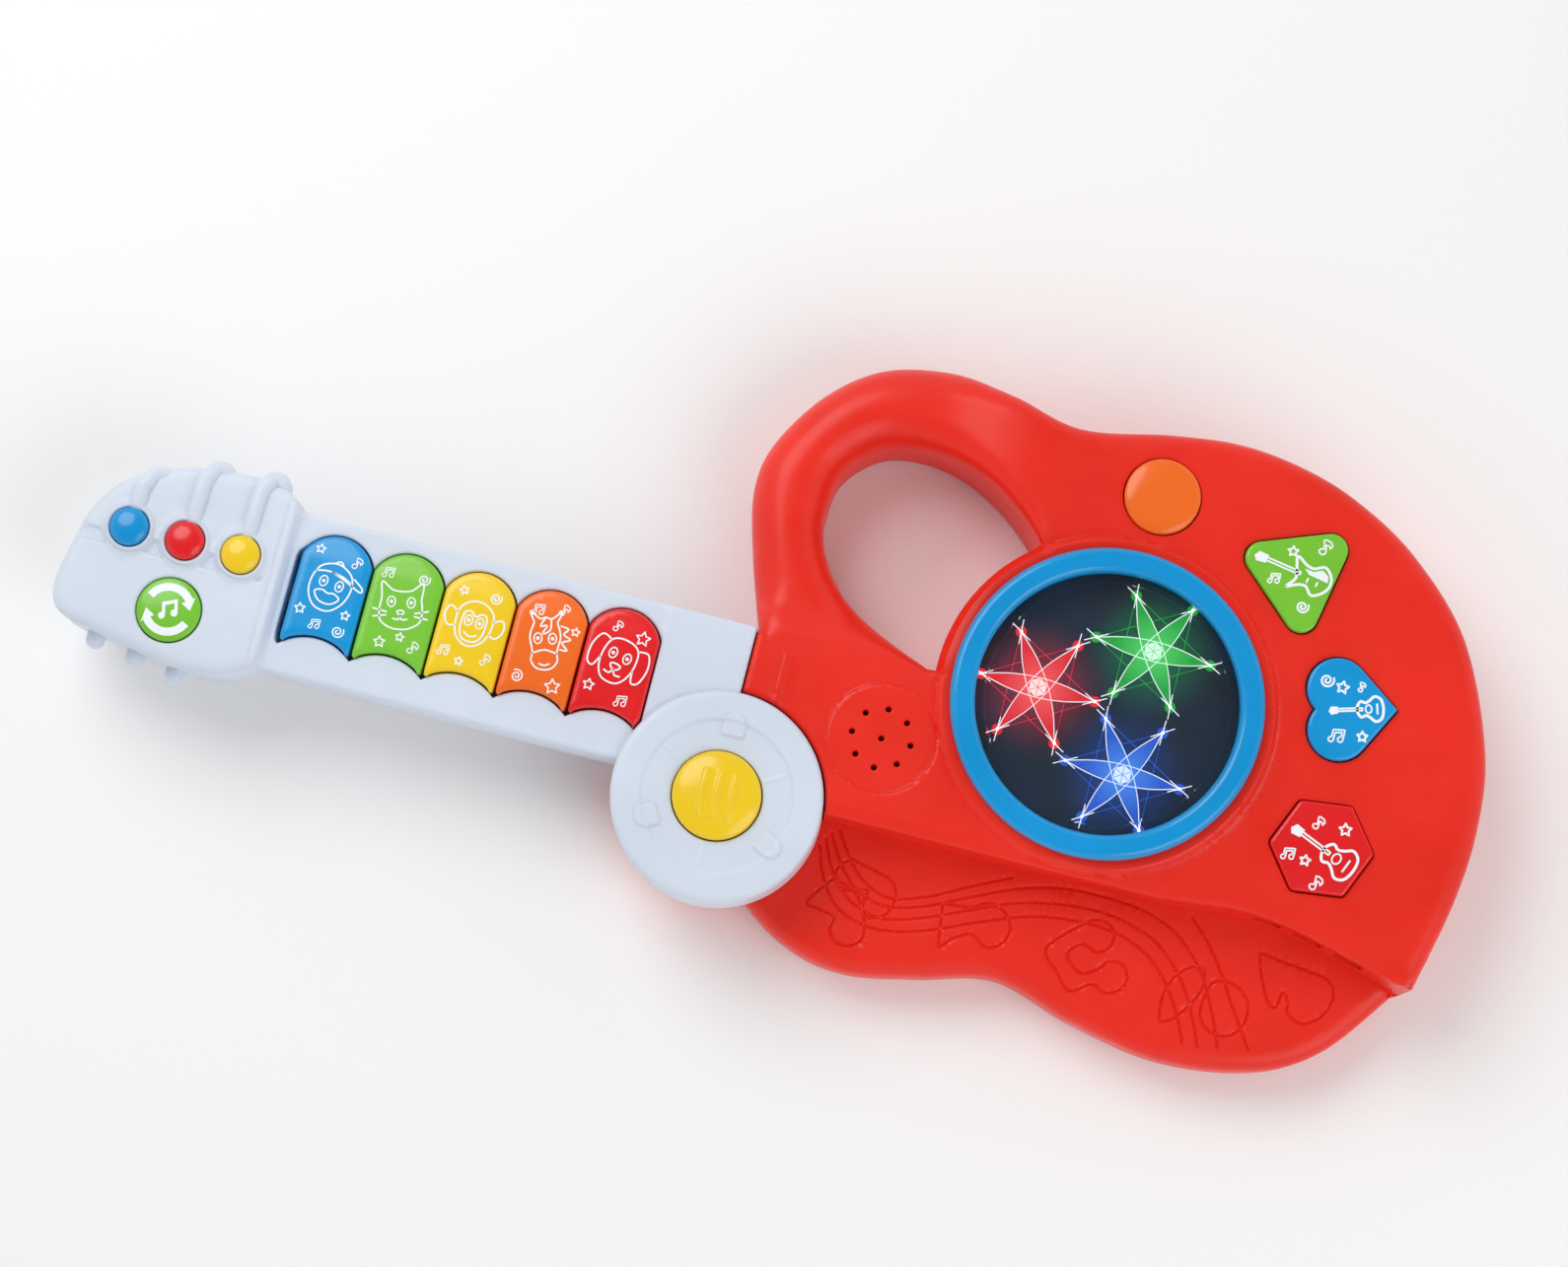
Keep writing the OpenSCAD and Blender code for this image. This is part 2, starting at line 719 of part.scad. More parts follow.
module hinge_cable() {
    above_board_z = main_board_z + board_t + 1.3;
    color("gray") wire([[72, -74, above_board_z], [59, -73.5, above_board_z], [48, -71, 12], [38, -68, 9], [20, -61, 8],
                        [hinge.x + 5, hinge.y - 2, 8], [hinge.x, hinge.y, 13], [hinge.x, hinge.y, 28]], 1.2);
}

// ---- fold hinge -----------------------------------------------------------

hub_h = 4.4;
hub_top_z = neck_low_z + hub_h;

// Hollow post that carries the neck; its flange is screwed under the deck
module hinge_post() {
    color("white") difference() {
        union() {
            at(hinge, deck_z - wall - 3) cylinder(r = 15, h = 3);
            at(hinge, deck_z - wall - 3) cylinder(r = post_r, h = hub_top_z + 0.1 - deck_z + wall + 3);
        }
        at(hinge, 10) cylinder(r = 4.5, h = 30);
        for (a = [60, 180, 300])
            at(hinge, deck_z - wall - 4) rotate(a) translate([12, 0, 0]) cylinder(r = 1.3, h = 5);
        for (a = [0, 120, 240])
            at(hinge, hub_top_z - 5) rotate(a) translate([6.2, 0, 0]) cylinder(r = 0.9, h = 8);
    }
}

module hinge_washer() {
    color("ivory") at(hinge, deck_z + 0.05) tube(22, post_r + 0.3, swing_gap - 0.1);
}

module hinge_retainer() {
    color("silver") difference() {
        at(hinge, hub_top_z + 0.1) tube(12, 4.5, 1.8);
        for (a = [0, 120, 240])
            at(hinge, hub_top_z - 1) rotate(a) translate([6.2, 0, 0]) cylinder(r = 1, h = 8);
    }
}

module hinge_screws() {
    color("silver") {
        for (a = [60, 180, 300])
            at(hinge, deck_z - wall - 4.8) rotate(a) translate([12, 0, 0]) screw(6.5, 2.3, 1.15);
        for (a = [0, 120, 240])
            at(hinge, hub_top_z + 3.2) rotate(a) translate([6.2, 0, 0]) mirror([0, 0, 1]) {
                cylinder(r = 1.6, h = 1.3);
                cylinder(r = 0.85, h = 6);
            }
    }
}

// ---- neck -----------------------------------------------------------------

module key_openings() {
    for (i = [0 : key_count - 1])
        translate([key_x(i), 0]) polygon(inset(key_outline, -0.5));
    translate([key_x(0) - 2.6, 0]) polygon(inset(key_outline, -0.5));
}

// Collars around the small buttons, and the tube-like ridge from each over the headstock's edge
module head_collars() {
    for (i = [0 : 2]) {
        at(head_button_at(i), head_z - 1) cylinder(r = 8, h = 2.5);
        at(head_button_at(i) + [0.6, 6], head_z - 0.4) rotate([-90, 0, 0]) cylinder(r = 2.6, h = 14 + 2.5 * i);
    }
}

module studs() {
    for (s = stud_at)
        at(s, stud_z) rotate([90, 0, 0]) {
            translate([0, 0, -1.5]) cylinder(r = stud_r, h = stud_len - 1.5);
            translate([0, 0, stud_len - 3]) sphere(r = stud_r);
        }
}

module neck_front_shell() {
    raised_x = -33;
    color(white_plastic) {
        difference() {
            union() {
                above(neck_split_z) neck_form(0);
                above(neck_split_z) head_collars();
                studs();
                translate([raised_x, neck_low_y, neck_z - 1]) cube([neck_right_x - raised_x, neck_w, 1.5]);
            }
            neck_form(neck_wall);
            slab(neck_z - neck_wall - 1, neck_z + 3) key_openings();
            slab(head_z - neck_wall - 1, head_z + 4) {
                for (i = [0 : 2])
                    translate(head_button_at(i)) circle(r = head_button_r + button_gap);
                translate(arrows_at) circle(r = arrows_r + button_gap);
            }
            at(hinge, neck_z - neck_wall - 1) cylinder(r = strum_r + 4, h = 10);
            at(hinge, neck_z) cylinder(r = disc_r + 0.02, h = 10);
        }
        for (p = neck_screw_at)
            at(p, neck_split_z) tube(3, 0.95, (p.x < head_right_x ? head_z : neck_z) - neck_wall + 0.4 - neck_split_z);
    }
}

module board_posts(places, top_z) {
    for (p = places)
        at(p, neck_low_z + 1) cylinder(r = 2.4, h = top_z - neck_low_z - 1);
}

// Radius of the hole in a board around a screw post
post_room_r = 3.6;
key_board_z = 30;
head_board_z = head_z - neck_wall - stem_drop - dome_room - board_t;
strum_board_z = neck_z - stem_drop - dome_room - board_t;

module neck_rear_shell() {
    color(white_plastic) difference() {
        union() {
            difference() {
                below(neck_split_z) neck_form(0);
                neck_form(neck_wall);
            }
            at(hinge, neck_low_z) cylinder(r = 13, h = hub_h);
            screw_posts(neck_screw_at, 3.6, neck_low_z, neck_split_z, 1.05);
            board_posts([for (x = [-142, -98, -54]) for (y = [-31, -9]) [x, y]], key_board_z);
            board_posts([[-197, -28], [-190, -45], [-162, -44], [-190, -9]], head_board_z);
            board_posts([for (a = [45, 165, 285]) hinge + 21 * [cos(a), sin(a)]], strum_board_z);
        }
        at(hinge, neck_low_z - 1) cylinder(r = post_r + post_gap, h = 10);
        for (p = neck_screw_at)
            at(p, neck_low_z - 1) cylinder(r = 2.5, h = 3.2);
    }
}

module neck_screws() {
    color("silver") for (p = neck_screw_at)
        at(p, neck_low_z + 0.4) screw(12, 2.2, 0.9);
}

// Round cap over the fold hinge, with a bevelled rim and a ring of relief marks
module hinge_disc() {
    ring_r = 23;
    hole_r = strum_r + button_gap;
    z = neck_z;
    profile = [[hole_r, z], [disc_r, z], [disc_r, z + disc_h - 1.2], [disc_r - 1.6, z + disc_h],
               [ring_r, z + disc_h], [ring_r - 1, z + disc_h - 0.9], [hole_r, z + disc_h - 0.9]];
    color(white_plastic) {
        at(hinge) rotate_extrude() polygon(profile);
        for (a = [90, 210, 330])
            at(hinge, z + disc_h - 1) rotate(a) translate([ring_r - 1.5, 0, 0]) cylinder(r = 3.4, h = 1.3);
    }
}

module key_board() {
    color("darkgreen") translate([-146, -33, key_board_z]) cube([114, 26, board_t]);
}

module key_domes() {
    color("gainsboro") for (i = [0 : key_count - 1])
        translate([key_x(i), key_mid_y, key_board_z + board_t]) cylinder(r = 3.6, h = key_travel + 0.1);
}

module head_board() {
    color("darkgreen") slab(head_board_z, head_board_z + board_t) difference() {
        polygon([[-200.5, -44], [-176, -49.5], [-158, -49], [-155, -44], [-155, -6], [-198, -6], [-200.5, -12]]);
        translate(neck_screw_at[1]) circle(r = post_room_r);
    }
}

module head_domes() {
    color("gainsboro") {
        for (i = [0 : 2])
            at(head_button_at(i), head_board_z + board_t) cylinder(r = 3, h = dome_room - 0.1);
        at(arrows_at, head_board_z + board_t) cylinder(r = 4, h = dome_room - 0.1);
    }
}

module strum_board() {
    color("darkgreen") slab(strum_board_z, strum_board_z + board_t) difference() {
        translate(hinge) circle(r = 25);
        for (i = [4, 5])
            translate(neck_screw_at[i]) circle(r = post_room_r);
    }
}

module strum_dome() {
    color("gainsboro") at(hinge, strum_board_z + board_t) cylinder(r = 5, h = dome_room - 0.1);
}

// Flat ribbon that joins the headstock, key and disc boards
module neck_ribbon() {
    low = key_board_z + board_t;
    high = head_board_z + board_t;
    end = strum_board_z + board_t;
    color("tan") {
        translate([0, -19.5, 0]) rotate([90, 0, 0]) linear_extrude(6)
            polygon([[-158, high], [-152, high], [-146, low], [-143, low], [-143, low + 0.8], [-146, low + 0.8],
                     [-152, high + 0.8], [-158, high + 0.8]]);
        translate([0, -30, 0]) rotate([90, 0, 0]) linear_extrude(6)
            polygon([[-36, low], [-30, low], [-27, end], [-12, end], [-12, end + 0.8], [-27.4, end + 0.8],
                     [-30.4, low + 0.8], [-36, low + 0.8]]);
    }
}

// ---- keys and buttons -----------------------------------------------------

key_z = neck_z + key_proud;
key_low_z = 34.6;

// One hollow key with its plunger and the two lips that hold it under the shell; the last key is cut
// back from the hinge disc
module key(i) {
    lip_t = 1.6;
    lip_z = neck_z - neck_wall - 0.3 - lip_t;
    plunger_z = key_board_z + board_t + key_travel + 0.2;
    color(key_colours[i]) difference() {
        translate([key_x(i), 0, 0]) {
            difference() {
                slab(key_low_z, key_z) polygon(key_outline);
                slab(key_low_z - 1, key_z - 2) polygon(inset(key_outline, 1.6));
            }
            translate([0, key_mid_y, plunger_z]) cylinder(r = 3, h = key_z - 1 - plunger_z);
            translate([-5, key_top_y - 1.8, lip_z]) cube([10, 3.6, lip_t]);
            translate([-5, key_crest_y - 1.6, lip_z]) cube([10, 3.4, lip_t]);
        }
        at(hinge, key_low_z - 5) cylinder(r = disc_r + 0.4, h = 20);
    }
}

module key_blue() {
    key(0);
}

module key_green() {
    key(1);
}

module key_yellow() {
    key(2);
}

module key_orange() {
    key(3);
}

module key_red() {
    key(4);
}

module head_button(i, colour) {
    color(colour) round_button(head_button_at(i), head_button_r, head_z - neck_wall, head_z + 2, 2, 2.2);
}

module head_button_blue() {
    head_button(0, toy_blue);
}

module head_button_red() {
    head_button(1, key_colours[4]);
}

module head_button_yellow() {
    head_button(2, toy_yellow);
}

module arrows_button() {
    color(toy_green) round_button(arrows_at, arrows_r, head_z - neck_wall, head_z + 1, 0.8, 3);
}

module strum_button() {
    color(toy_yellow) round_button(hinge, strum_r, neck_z, neck_z + 3.5, 3, 4);
}

module orange_button() {
    color(toy_orange) round_button(orange_at, orange_r, plate_z - wall, plate_z + 1.6, 1.4, 3);
}

module triangle_button() {
    color(toy_green) button(triangle_outline, plate_z - wall, plate_z + 1.6, 0.6, 3);
}

module heart_button() {
    color(toy_blue) button(heart_outline, plate_z - wall, plate_z + 1.6, 0.6, 3);
}

module hexagon_button() {
    color([0.85, 0.12, 0.15]) button(hexagon_outline, plate_z - wall, plate_z + 1.6, 0.6, 3);
}

body_front_shell();
handle_front_shell();
deck_shell();
body_rear_shell();
body_screws();
window_bezel();
window_lens();
star_panel();
light_board();
led_red();
led_green();
led_blue();
speaker_basket();
speaker_magnet();
speaker_cone();
main_board();
sound_chip();
button_board();
button_domes();
battery_cells();
battery_springs();
battery_contacts();
battery_door();
battery_door_screw();
switch_housing();
switch_knob();
speaker_leads();
battery_leads();
hinge_cable();
hinge_post();
hinge_washer();
hinge_retainer();
hinge_screws();
neck_front_shell();
neck_rear_shell();
neck_screws();
hinge_disc();
key_board();
key_domes();
head_board();
head_domes();
strum_board();
strum_dome();
neck_ribbon();
key_blue();
key_green();
key_yellow();
key_orange();
key_red();
head_button_blue();
head_button_red();
head_button_yellow();
arrows_button();
strum_button();
orange_button();
triangle_button();
heart_button();
hexagon_button();
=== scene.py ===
"""Toy electric guitar: moulded shells, printed keys and buttons and a lit window, around the CAD frame.

Lengths in this script are millimetres in the frame's axes; new_piece() turns them into metres.
"""

import math

import bpy
import numpy as np
from mathutils import Matrix, Vector, geometry
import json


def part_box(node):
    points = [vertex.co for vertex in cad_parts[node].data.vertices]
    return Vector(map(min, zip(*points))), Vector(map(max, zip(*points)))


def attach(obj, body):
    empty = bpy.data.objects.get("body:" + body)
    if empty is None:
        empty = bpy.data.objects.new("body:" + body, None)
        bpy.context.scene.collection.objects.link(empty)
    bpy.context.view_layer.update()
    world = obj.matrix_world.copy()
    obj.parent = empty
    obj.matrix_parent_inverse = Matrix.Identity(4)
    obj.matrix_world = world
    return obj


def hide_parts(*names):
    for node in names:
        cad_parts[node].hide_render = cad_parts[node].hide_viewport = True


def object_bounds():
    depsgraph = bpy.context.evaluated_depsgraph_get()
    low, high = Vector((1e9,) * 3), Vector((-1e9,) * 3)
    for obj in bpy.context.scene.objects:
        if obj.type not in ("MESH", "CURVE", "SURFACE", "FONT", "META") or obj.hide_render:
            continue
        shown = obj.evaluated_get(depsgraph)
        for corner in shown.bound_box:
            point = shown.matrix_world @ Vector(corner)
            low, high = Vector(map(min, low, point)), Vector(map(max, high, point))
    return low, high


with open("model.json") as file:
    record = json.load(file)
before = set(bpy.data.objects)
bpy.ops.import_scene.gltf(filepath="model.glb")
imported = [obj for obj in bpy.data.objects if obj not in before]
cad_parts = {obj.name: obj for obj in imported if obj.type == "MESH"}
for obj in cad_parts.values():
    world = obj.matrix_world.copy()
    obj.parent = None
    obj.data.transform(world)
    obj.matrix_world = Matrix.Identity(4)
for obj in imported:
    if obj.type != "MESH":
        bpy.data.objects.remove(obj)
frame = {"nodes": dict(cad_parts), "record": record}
cad_low, cad_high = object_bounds()

MM = 0.001
BOX_LOW = np.array(cad_low) / MM
BOX_HIGH = np.array(cad_high) / MM


def box_mm(node):
    low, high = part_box(node)
    return np.array(low) / MM, np.array(high) / MM


def middle_of(node):
    low, high = box_mm(node)
    return (low[:2] + high[:2]) / 2


# ---- driving dimensions, from the frame -----------------------------------

HINGE = middle_of("strum_button")
WINDOW = middle_of("window_bezel")
SPEAKER = middle_of("speaker_magnet")
DISC_R = (box_mm("hinge_disc")[1][0] - box_mm("hinge_disc")[0][0]) / 2
BEZEL_R = (box_mm("window_bezel")[1][0] - box_mm("window_bezel")[0][0]) / 2
PLATE_Z = 40.0
DECK_Z = 20.0
SPLIT_Z = 10.0
SEAM = 0.15
HANDLE_Z = 37.0
NECK_LOW_Z = box_mm("neck_rear_shell")[0][2]
NECK_Z = box_mm("hinge_disc")[0][2]
NECK_SPLIT_Z = 28.0
NECK_SEAM = 0.1
HEAD_Z = NECK_Z + 3.0
DISC_Z = box_mm("hinge_disc")[1][2]
KEY_Z = box_mm("key_blue")[1][2]
WALL = 2.5
POST_R = 8.1
BUTTON_LOW_Z = PLATE_Z - WALL - 2
LUG_R = DISC_R - 2.5
RIM_R = 52.0
WINDOW_R = 39.5
HEAD_BUTTONS = [middle_of(f"head_button_{c}") for c in ("blue", "red", "yellow")]
HEAD_BUTTON_R = 5.8
COLLAR_R = 7.9
COLLAR_RISE = 1.5
ARROWS = middle_of("arrows_button")
ARROWS_R = 9.6
ARROWS_DOME = (HEAD_Z + 0.2, 1.2)
STRUM_R = 13.3
ORANGE = middle_of("orange_button")
ORANGE_R = 11.5
GAP = 0.35
KEY_NAMES = ("blue", "green", "yellow", "orange", "red")
KEY_COLOURS = ("blue", "green", "yellow", "orange", "cherry")
KEY_X = [middle_of(f"key_{c}")[0] for c in KEY_NAMES]
KEY_PITCH = KEY_X[1] - KEY_X[0]
KEY_W = KEY_PITCH - 0.7
KEY_TOP_Y = -3.5
KEY_CREST_Y = -34.5
KEY_ARCH_R = 11.5
KEY_SCALLOP_R = 17.0
STAR_TIP = 17.5
GLOW_REACH = 24


# ---- curves and outlines --------------------------------------------------


def spline(points, steps=10, closed=False):
    """Smooth curve through points, as the CAD source draws its outlines."""
    p = np.array(points, float)
    n = len(p)
    out = []
    for i in range(n if closed else n - 1):
        if closed:
            a, b, c, d = p[i - 1], p[i], p[(i + 1) % n], p[(i + 2) % n]
        else:
            a, b, c, d = p[max(i - 1, 0)], p[i], p[i + 1], p[min(i + 2, n - 1)]
        for u in np.arange(steps) / steps:
            square, cube = 2 * a - 5 * b + 4 * c - d, 3 * b - a - 3 * c + d
            out.append(0.5 * (2 * b + (c - a) * u + square * u**2 + cube * u**3))
    if not closed:
        out.append(p[-1])
    return np.array(out)


def arc(centre, r, a0, a1, steps=24):
    angles = np.radians(np.linspace(a0, a1, steps + 1))
    return np.array(centre, float) + r * np.stack([np.cos(angles), np.sin(angles)], -1)


def circle(centre, r, steps=96):
    return arc(centre, r, 0, 360, steps)[:-1]


def rounded(points, r, steps=6):
    """Convex anticlockwise outline with its corners rounded to radius r."""
    p = [np.array(q, float) for q in points]
    out = []
    for i, corner in enumerate(p):
        u = p[i - 1] - corner
        v = p[(i + 1) % len(p)] - corner
        u, v = u / np.linalg.norm(u), v / np.linalg.norm(v)
        half = math.acos(max(-1, min(1, u @ v))) / 2
        mid = (u + v) / np.linalg.norm(u + v)
        start = math.degrees(math.atan2(u[0], -u[1]))
        end = start + 180 - 2 * math.degrees(half)
        out.extend(arc(corner + mid * r / math.sin(half), r, start, end, steps))
    return np.array(out)


def turned(points, angle, shift=(0, 0)):
    """Points turned anticlockwise by an angle in degrees, then moved by shift."""
    a = math.radians(angle)
    turn = np.array([[math.cos(a), math.sin(a)], [-math.sin(a), math.cos(a)]])
    return np.asarray(points, float) @ turn + np.array(shift)


def unit(angle):
    """Unit vector at an angle in degrees."""
    a = math.radians(angle)
    return np.array([math.cos(a), math.sin(a)])


def bearing(vector):
    """Direction of a vector in degrees, from 0 to 360."""
    return math.degrees(math.atan2(vector[1], vector[0])) % 360


def even(loop, spacing, closed=True):
    """The same line with its points evenly spaced, keeping corners sharper than 25 degrees."""
    p = np.asarray(loop, float)
    q = np.vstack([p, p[:1]]) if closed else p
    keep = [0]
    for i in range(1, len(q) - 1):
        u, v = q[i] - q[i - 1], q[i + 1] - q[i]
        if u @ v < math.cos(math.radians(25)) * np.linalg.norm(u) * np.linalg.norm(v):
            keep.append(i)
    keep.append(len(q) - 1)
    out = []
    for i, j in zip(keep[:-1], keep[1:]):
        part = q[i : j + 1]
        s = np.concatenate([[0], np.cumsum(np.linalg.norm(np.diff(part, axis=0), axis=1))])
        n = max(1, round(s[-1] / spacing))
        at = np.linspace(0, s[-1], n + 1)[:-1]
        out.append(np.stack([np.interp(at, s, part[:, k]) for k in (0, 1)], -1))
    if not closed:
        out.append(q[-1:])
    return np.concatenate(out)


def inset(loop, t):
    """Anticlockwise outline moved inwards by t."""
    p = np.asarray(loop, float)
    d0 = p - np.roll(p, 1, 0)
    d1 = np.roll(p, -1, 0) - p
    d0 /= np.linalg.norm(d0, axis=1)[:, None]
    d1 /= np.linalg.norm(d1, axis=1)[:, None]
    n = np.stack([-d0[:, 1] - d1[:, 1], d0[:, 0] + d1[:, 0]], -1)
    scale = np.maximum(1 + (d0 * d1).sum(1), 0.35)
    return p + t * n / scale[:, None]


def distance(points, line, closed=True):
    """Distance from each point to a polyline, and the index of its nearest segment."""
    a = np.asarray(line, float)
    b = np.roll(a, -1, 0) if closed else a[1:]
    a = a if closed else a[:-1]
    ab = b - a
    length = np.maximum((ab**2).sum(1), 1e-12)
    best = np.empty(len(points))
    index = np.empty(len(points), int)
    for i in range(0, len(points), 3000):
        ap = points[i : i + 3000, None] - a[None]
        t = np.clip((ap * ab).sum(-1) / length, 0, 1)
        d = ((ap - t[..., None] * ab) ** 2).sum(-1)
        index[i : i + 3000] = d.argmin(1)
        best[i : i + 3000] = np.sqrt(d.min(1))
    return best, index


def off_lines(points, lines):
    """Distance from each point to the nearest of several open lines."""
    return np.min([distance(points, line, closed=False)[0] for line in lines], axis=0)


def inside(points, loop):
    x, y = points[:, 0], points[:, 1]
    a, b = np.asarray(loop, float), np.roll(loop, -1, 0)
    odd = np.zeros(len(points), bool)
    for (ax, ay), (bx, by) in zip(a, b):
        if ay == by:
            continue
        odd ^= ((ay > y) != (by > y)) & (x < (bx - ax) * (y - ay) / (by - ay) + ax)
    return odd


def within(points, loops):
    """Which points lie inside loops[0] and outside the other loops."""
    keep = inside(points, loops[0])
    for hole in loops[1:]:
        keep &= ~inside(points, hole)
    return keep


def smoothstep(x, low, high):
    t = np.clip((x - low) / (high - low), 0, 1)
    return t * t * (3 - 2 * t)


LOWER_EDGE = [(-6, -58), (9.5, -77.6), (26, -88), (44, -91.2), (66, -87.2), (89, -82), (114, -89),
              (142, -93.6), (170, -89.8), (189, -79), (205.5, -57.8)]
UPPER_EDGE = [(208.5, -56), (214.8, -28), (216.8, -4), (213.6, 20), (200.3, 50.6), (180.3, 71.4),
              (160.6, 83.3), (142.4, 89.5), (122, 92), (101, 89.8), (73.5, 84.8), (51.5, 90), (32, 93.5),
              (11.5, 89.5), (-4.4, 77.4), (-16, 59), (-18.5, 44), (-14.5, 26), (-6, 1)]
HANDLE_LOOP = [(4.5, 43), (6.5, 32), (13, 21.5), (22.5, 13.5), (40, 4.3), (58, -1), (78, 10), (80, 32),
               (69, 48), (57, 58.8), (44, 65.6), (30, 68), (16.5, 65.3), (6.6, 55.2)]
DECK_WALL = [(128, -48.5), (140, -47.4), (152, -46.2), (165, -47), (180, -50), (210, -58)]
HEAD_EDGE = [(-146, 1), (-154, 6.5), (-165, 8), (-180, 6.8), (-192, 3), (-203, -3.5), (-209.8, -14),
             (-213, -28), (-214.2, -36), (-213.6, -42), (-210.6, -46), (-204, -48.2), (-190, -50.8),
             (-178, -53.2), (-168, -54), (-158, -53), (-149, -48)]
STUDS = [(-199.5, -48.9), (-186.5, -51.4), (-173.5, -53.7)]
STUD_Z = 31.0
SLOT_W = 9.0
PLATE_LEFT = -6.0
PLATE_TOP_Y = 1.0
NECK_RIGHT = -6.4
NECK_LOW_Y = -48.0


def lower_outline():
    """From the lug under the hinge disc, along the lower edge, to the right corner."""
    edge = spline(LOWER_EDGE)
    clear = np.linalg.norm(edge - HINGE, axis=1) > LUG_R
    edge = edge[np.argmax(clear) :]
    start = 90 - math.degrees(math.asin((HINGE[0] - PLATE_LEFT) / LUG_R))
    return np.vstack([arc(HINGE, LUG_R, start, bearing(edge[0] - HINGE), 40)[:-1], edge])


def plate_outline():
    """Raised plate and handle: round the outside, down the left end, round the disc, along the deck wall."""
    r = DISC_R + 0.6
    low_y = DECK_WALL[0][1]
    left = math.degrees(math.acos((PLATE_LEFT - HINGE[0]) / r))
    right = math.degrees(math.asin((low_y - HINGE[1]) / r))
    wall = spline(DECK_WALL)
    wall = wall[wall[:, 0] < 205.5]
    return np.vstack([spline(UPPER_EDGE), arc(HINGE, r, left, right, 24), wall])


def handle_opening():
    """The handle's loop, closed by the window rim where the two meet."""
    loop = spline(HANDLE_LOOP, 12, closed=True)
    free = (np.linalg.norm(loop - WINDOW, axis=1) > RIM_R) & (loop[:, 1] > PLATE_TOP_Y)
    start = next(i for i in range(len(loop)) if free[i] and not free[i - 1])
    loop = np.roll(loop, -start, 0)[np.roll(free, -start)]
    low = 180 + math.degrees(math.asin((WINDOW[1] - PLATE_TOP_Y) / RIM_R))
    rim_start = min(low, bearing(loop[-1] - WINDOW))
    return np.vstack([loop, arc(WINDOW, RIM_R, rim_start, bearing(loop[0] - WINDOW), 24)[:-1]])


def key_outline(x):
    """One key, clear of the disc: an arch above, a scallop below and softened lower corners."""
    a = math.degrees(math.asin(KEY_W / 2 / KEY_ARCH_R))
    b = math.degrees(math.asin(KEY_W / 2 / KEY_SCALLOP_R))
    top = arc((x, KEY_TOP_Y - KEY_ARCH_R), KEY_ARCH_R, 90 - a, 90 + a, 20)
    low = arc((x, KEY_CREST_Y - KEY_SCALLOP_R), KEY_SCALLOP_R, 90 + b, 90 - b, 20)
    left = low[0] + [(0, 2.0), (0.25, 0.6), (1.0, 0.25)]
    right = low[-1] + [(-1.0, 0.25), (-0.25, 0.6), (0, 2.0)]
    outline = even(np.vstack([top, left, low[2:-2], right]), 0.9)
    away = outline - HINGE
    reach = np.linalg.norm(away, axis=1)
    return HINGE + away * (np.maximum(reach, DISC_R + 0.45) / reach)[:, None]


def key_well():
    """One opening around all keys: an arch over each, a scalloped lower edge and a slot at the left."""
    grow, half = 0.5, KEY_PITCH / 2
    r, s = KEY_ARCH_R + grow, KEY_SCALLOP_R - grow
    a = math.degrees(math.acos(half / r))
    b = math.degrees(math.asin(half / s))
    low_c, top_c = KEY_CREST_Y - KEY_SCALLOP_R, KEY_TOP_Y - KEY_ARCH_R
    end = KEY_X[-1] + KEY_W / 2 + grow
    left = KEY_X[0] - KEY_W / 2 - grow - 1.2
    scallops = [arc((x, low_c), s, 90 + b, 90 - b, 16)[:-1] for x in KEY_X]
    corner = [(end - 1.6, low_c + s * math.cos(math.radians(b)) + 0.1), (end - 0.2, -38.0), (end, -36.5)]
    arches = [arc((x, top_c), r, a, 152 if x == KEY_X[0] else 180 - a, 16)[:-1] for x in reversed(KEY_X)]
    slot = [(left + 0.6, -10.2), (left, -12.0), (left, -36.0), (left + 0.3, -38.2), (left + 0.9, -39.0)]
    return np.vstack([*scallops, corner, *arches, slot])


TRIANGLE = rounded([(125.9, 60.4), (153.8, 34.4), (161.6, 73.9)], 5, 10)
HEXAGON = turned(rounded([15.6 * unit(60 * k) for k in range(6)], 1.5, 4), 7, (172.3, -22.3))
HEART_SHIFT = (167.8, 19.5)
HEART_TURN = 13.4


def heart_outline():
    """Two lobes and the straight sides to the tip, mirrored about the heart's long axis."""
    lobe, tip, r = np.array([0, 6.2]), np.array([17.6, 0]), 9.3
    reach = np.linalg.norm(tip - lobe)
    a = math.degrees(math.atan2(tip[1] - lobe[1], tip[0] - lobe[0]) + math.acos(r / reach))
    notch = 180 + math.degrees(math.asin(lobe[1] / r))
    half = arc(lobe, r, a, notch, 24)
    mirror = (half * (1, -1))[::-1][1:]
    return turned(np.vstack([[tip], half, mirror]), HEART_TURN, HEART_SHIFT)


HEART = heart_outline()


# ---- meshes ---------------------------------------------------------------


SHARP_ANGLE = math.radians(32)


def new_piece(name, solid, body, slot=None, replaces=(), material=None, origin=(0, 0, 0)):
    """Mesh object from (verts, faces) in millimetres, riding on a body."""
    verts, faces = solid
    origin = np.array(origin, float)
    mesh = bpy.data.meshes.new(name)
    verts = np.clip(verts, BOX_LOW, BOX_HIGH) - origin
    mesh.from_pydata((verts * MM).tolist(), [], [list(map(int, f)) for f in faces])
    mesh.validate()
    mesh.shade_smooth()
    mesh.set_sharp_from_angle(angle=SHARP_ANGLE)
    mesh.materials.append(material or MATERIALS[slot])
    piece = bpy.data.objects.new(name, mesh)
    piece.location = Vector(origin * MM)
    bpy.context.scene.collection.objects.link(piece)
    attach(piece, body)
    if replaces:
        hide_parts(*replaces)
    return piece


def joined(*parts):
    """Several (verts, faces) as one."""
    verts, faces, base = [], [], 0
    for v, f in parts:
        verts.append(np.asarray(v, float))
        faces.extend([tuple(i + base for i in face) for face in f])
        base += len(v)
    return np.vstack(verts), faces


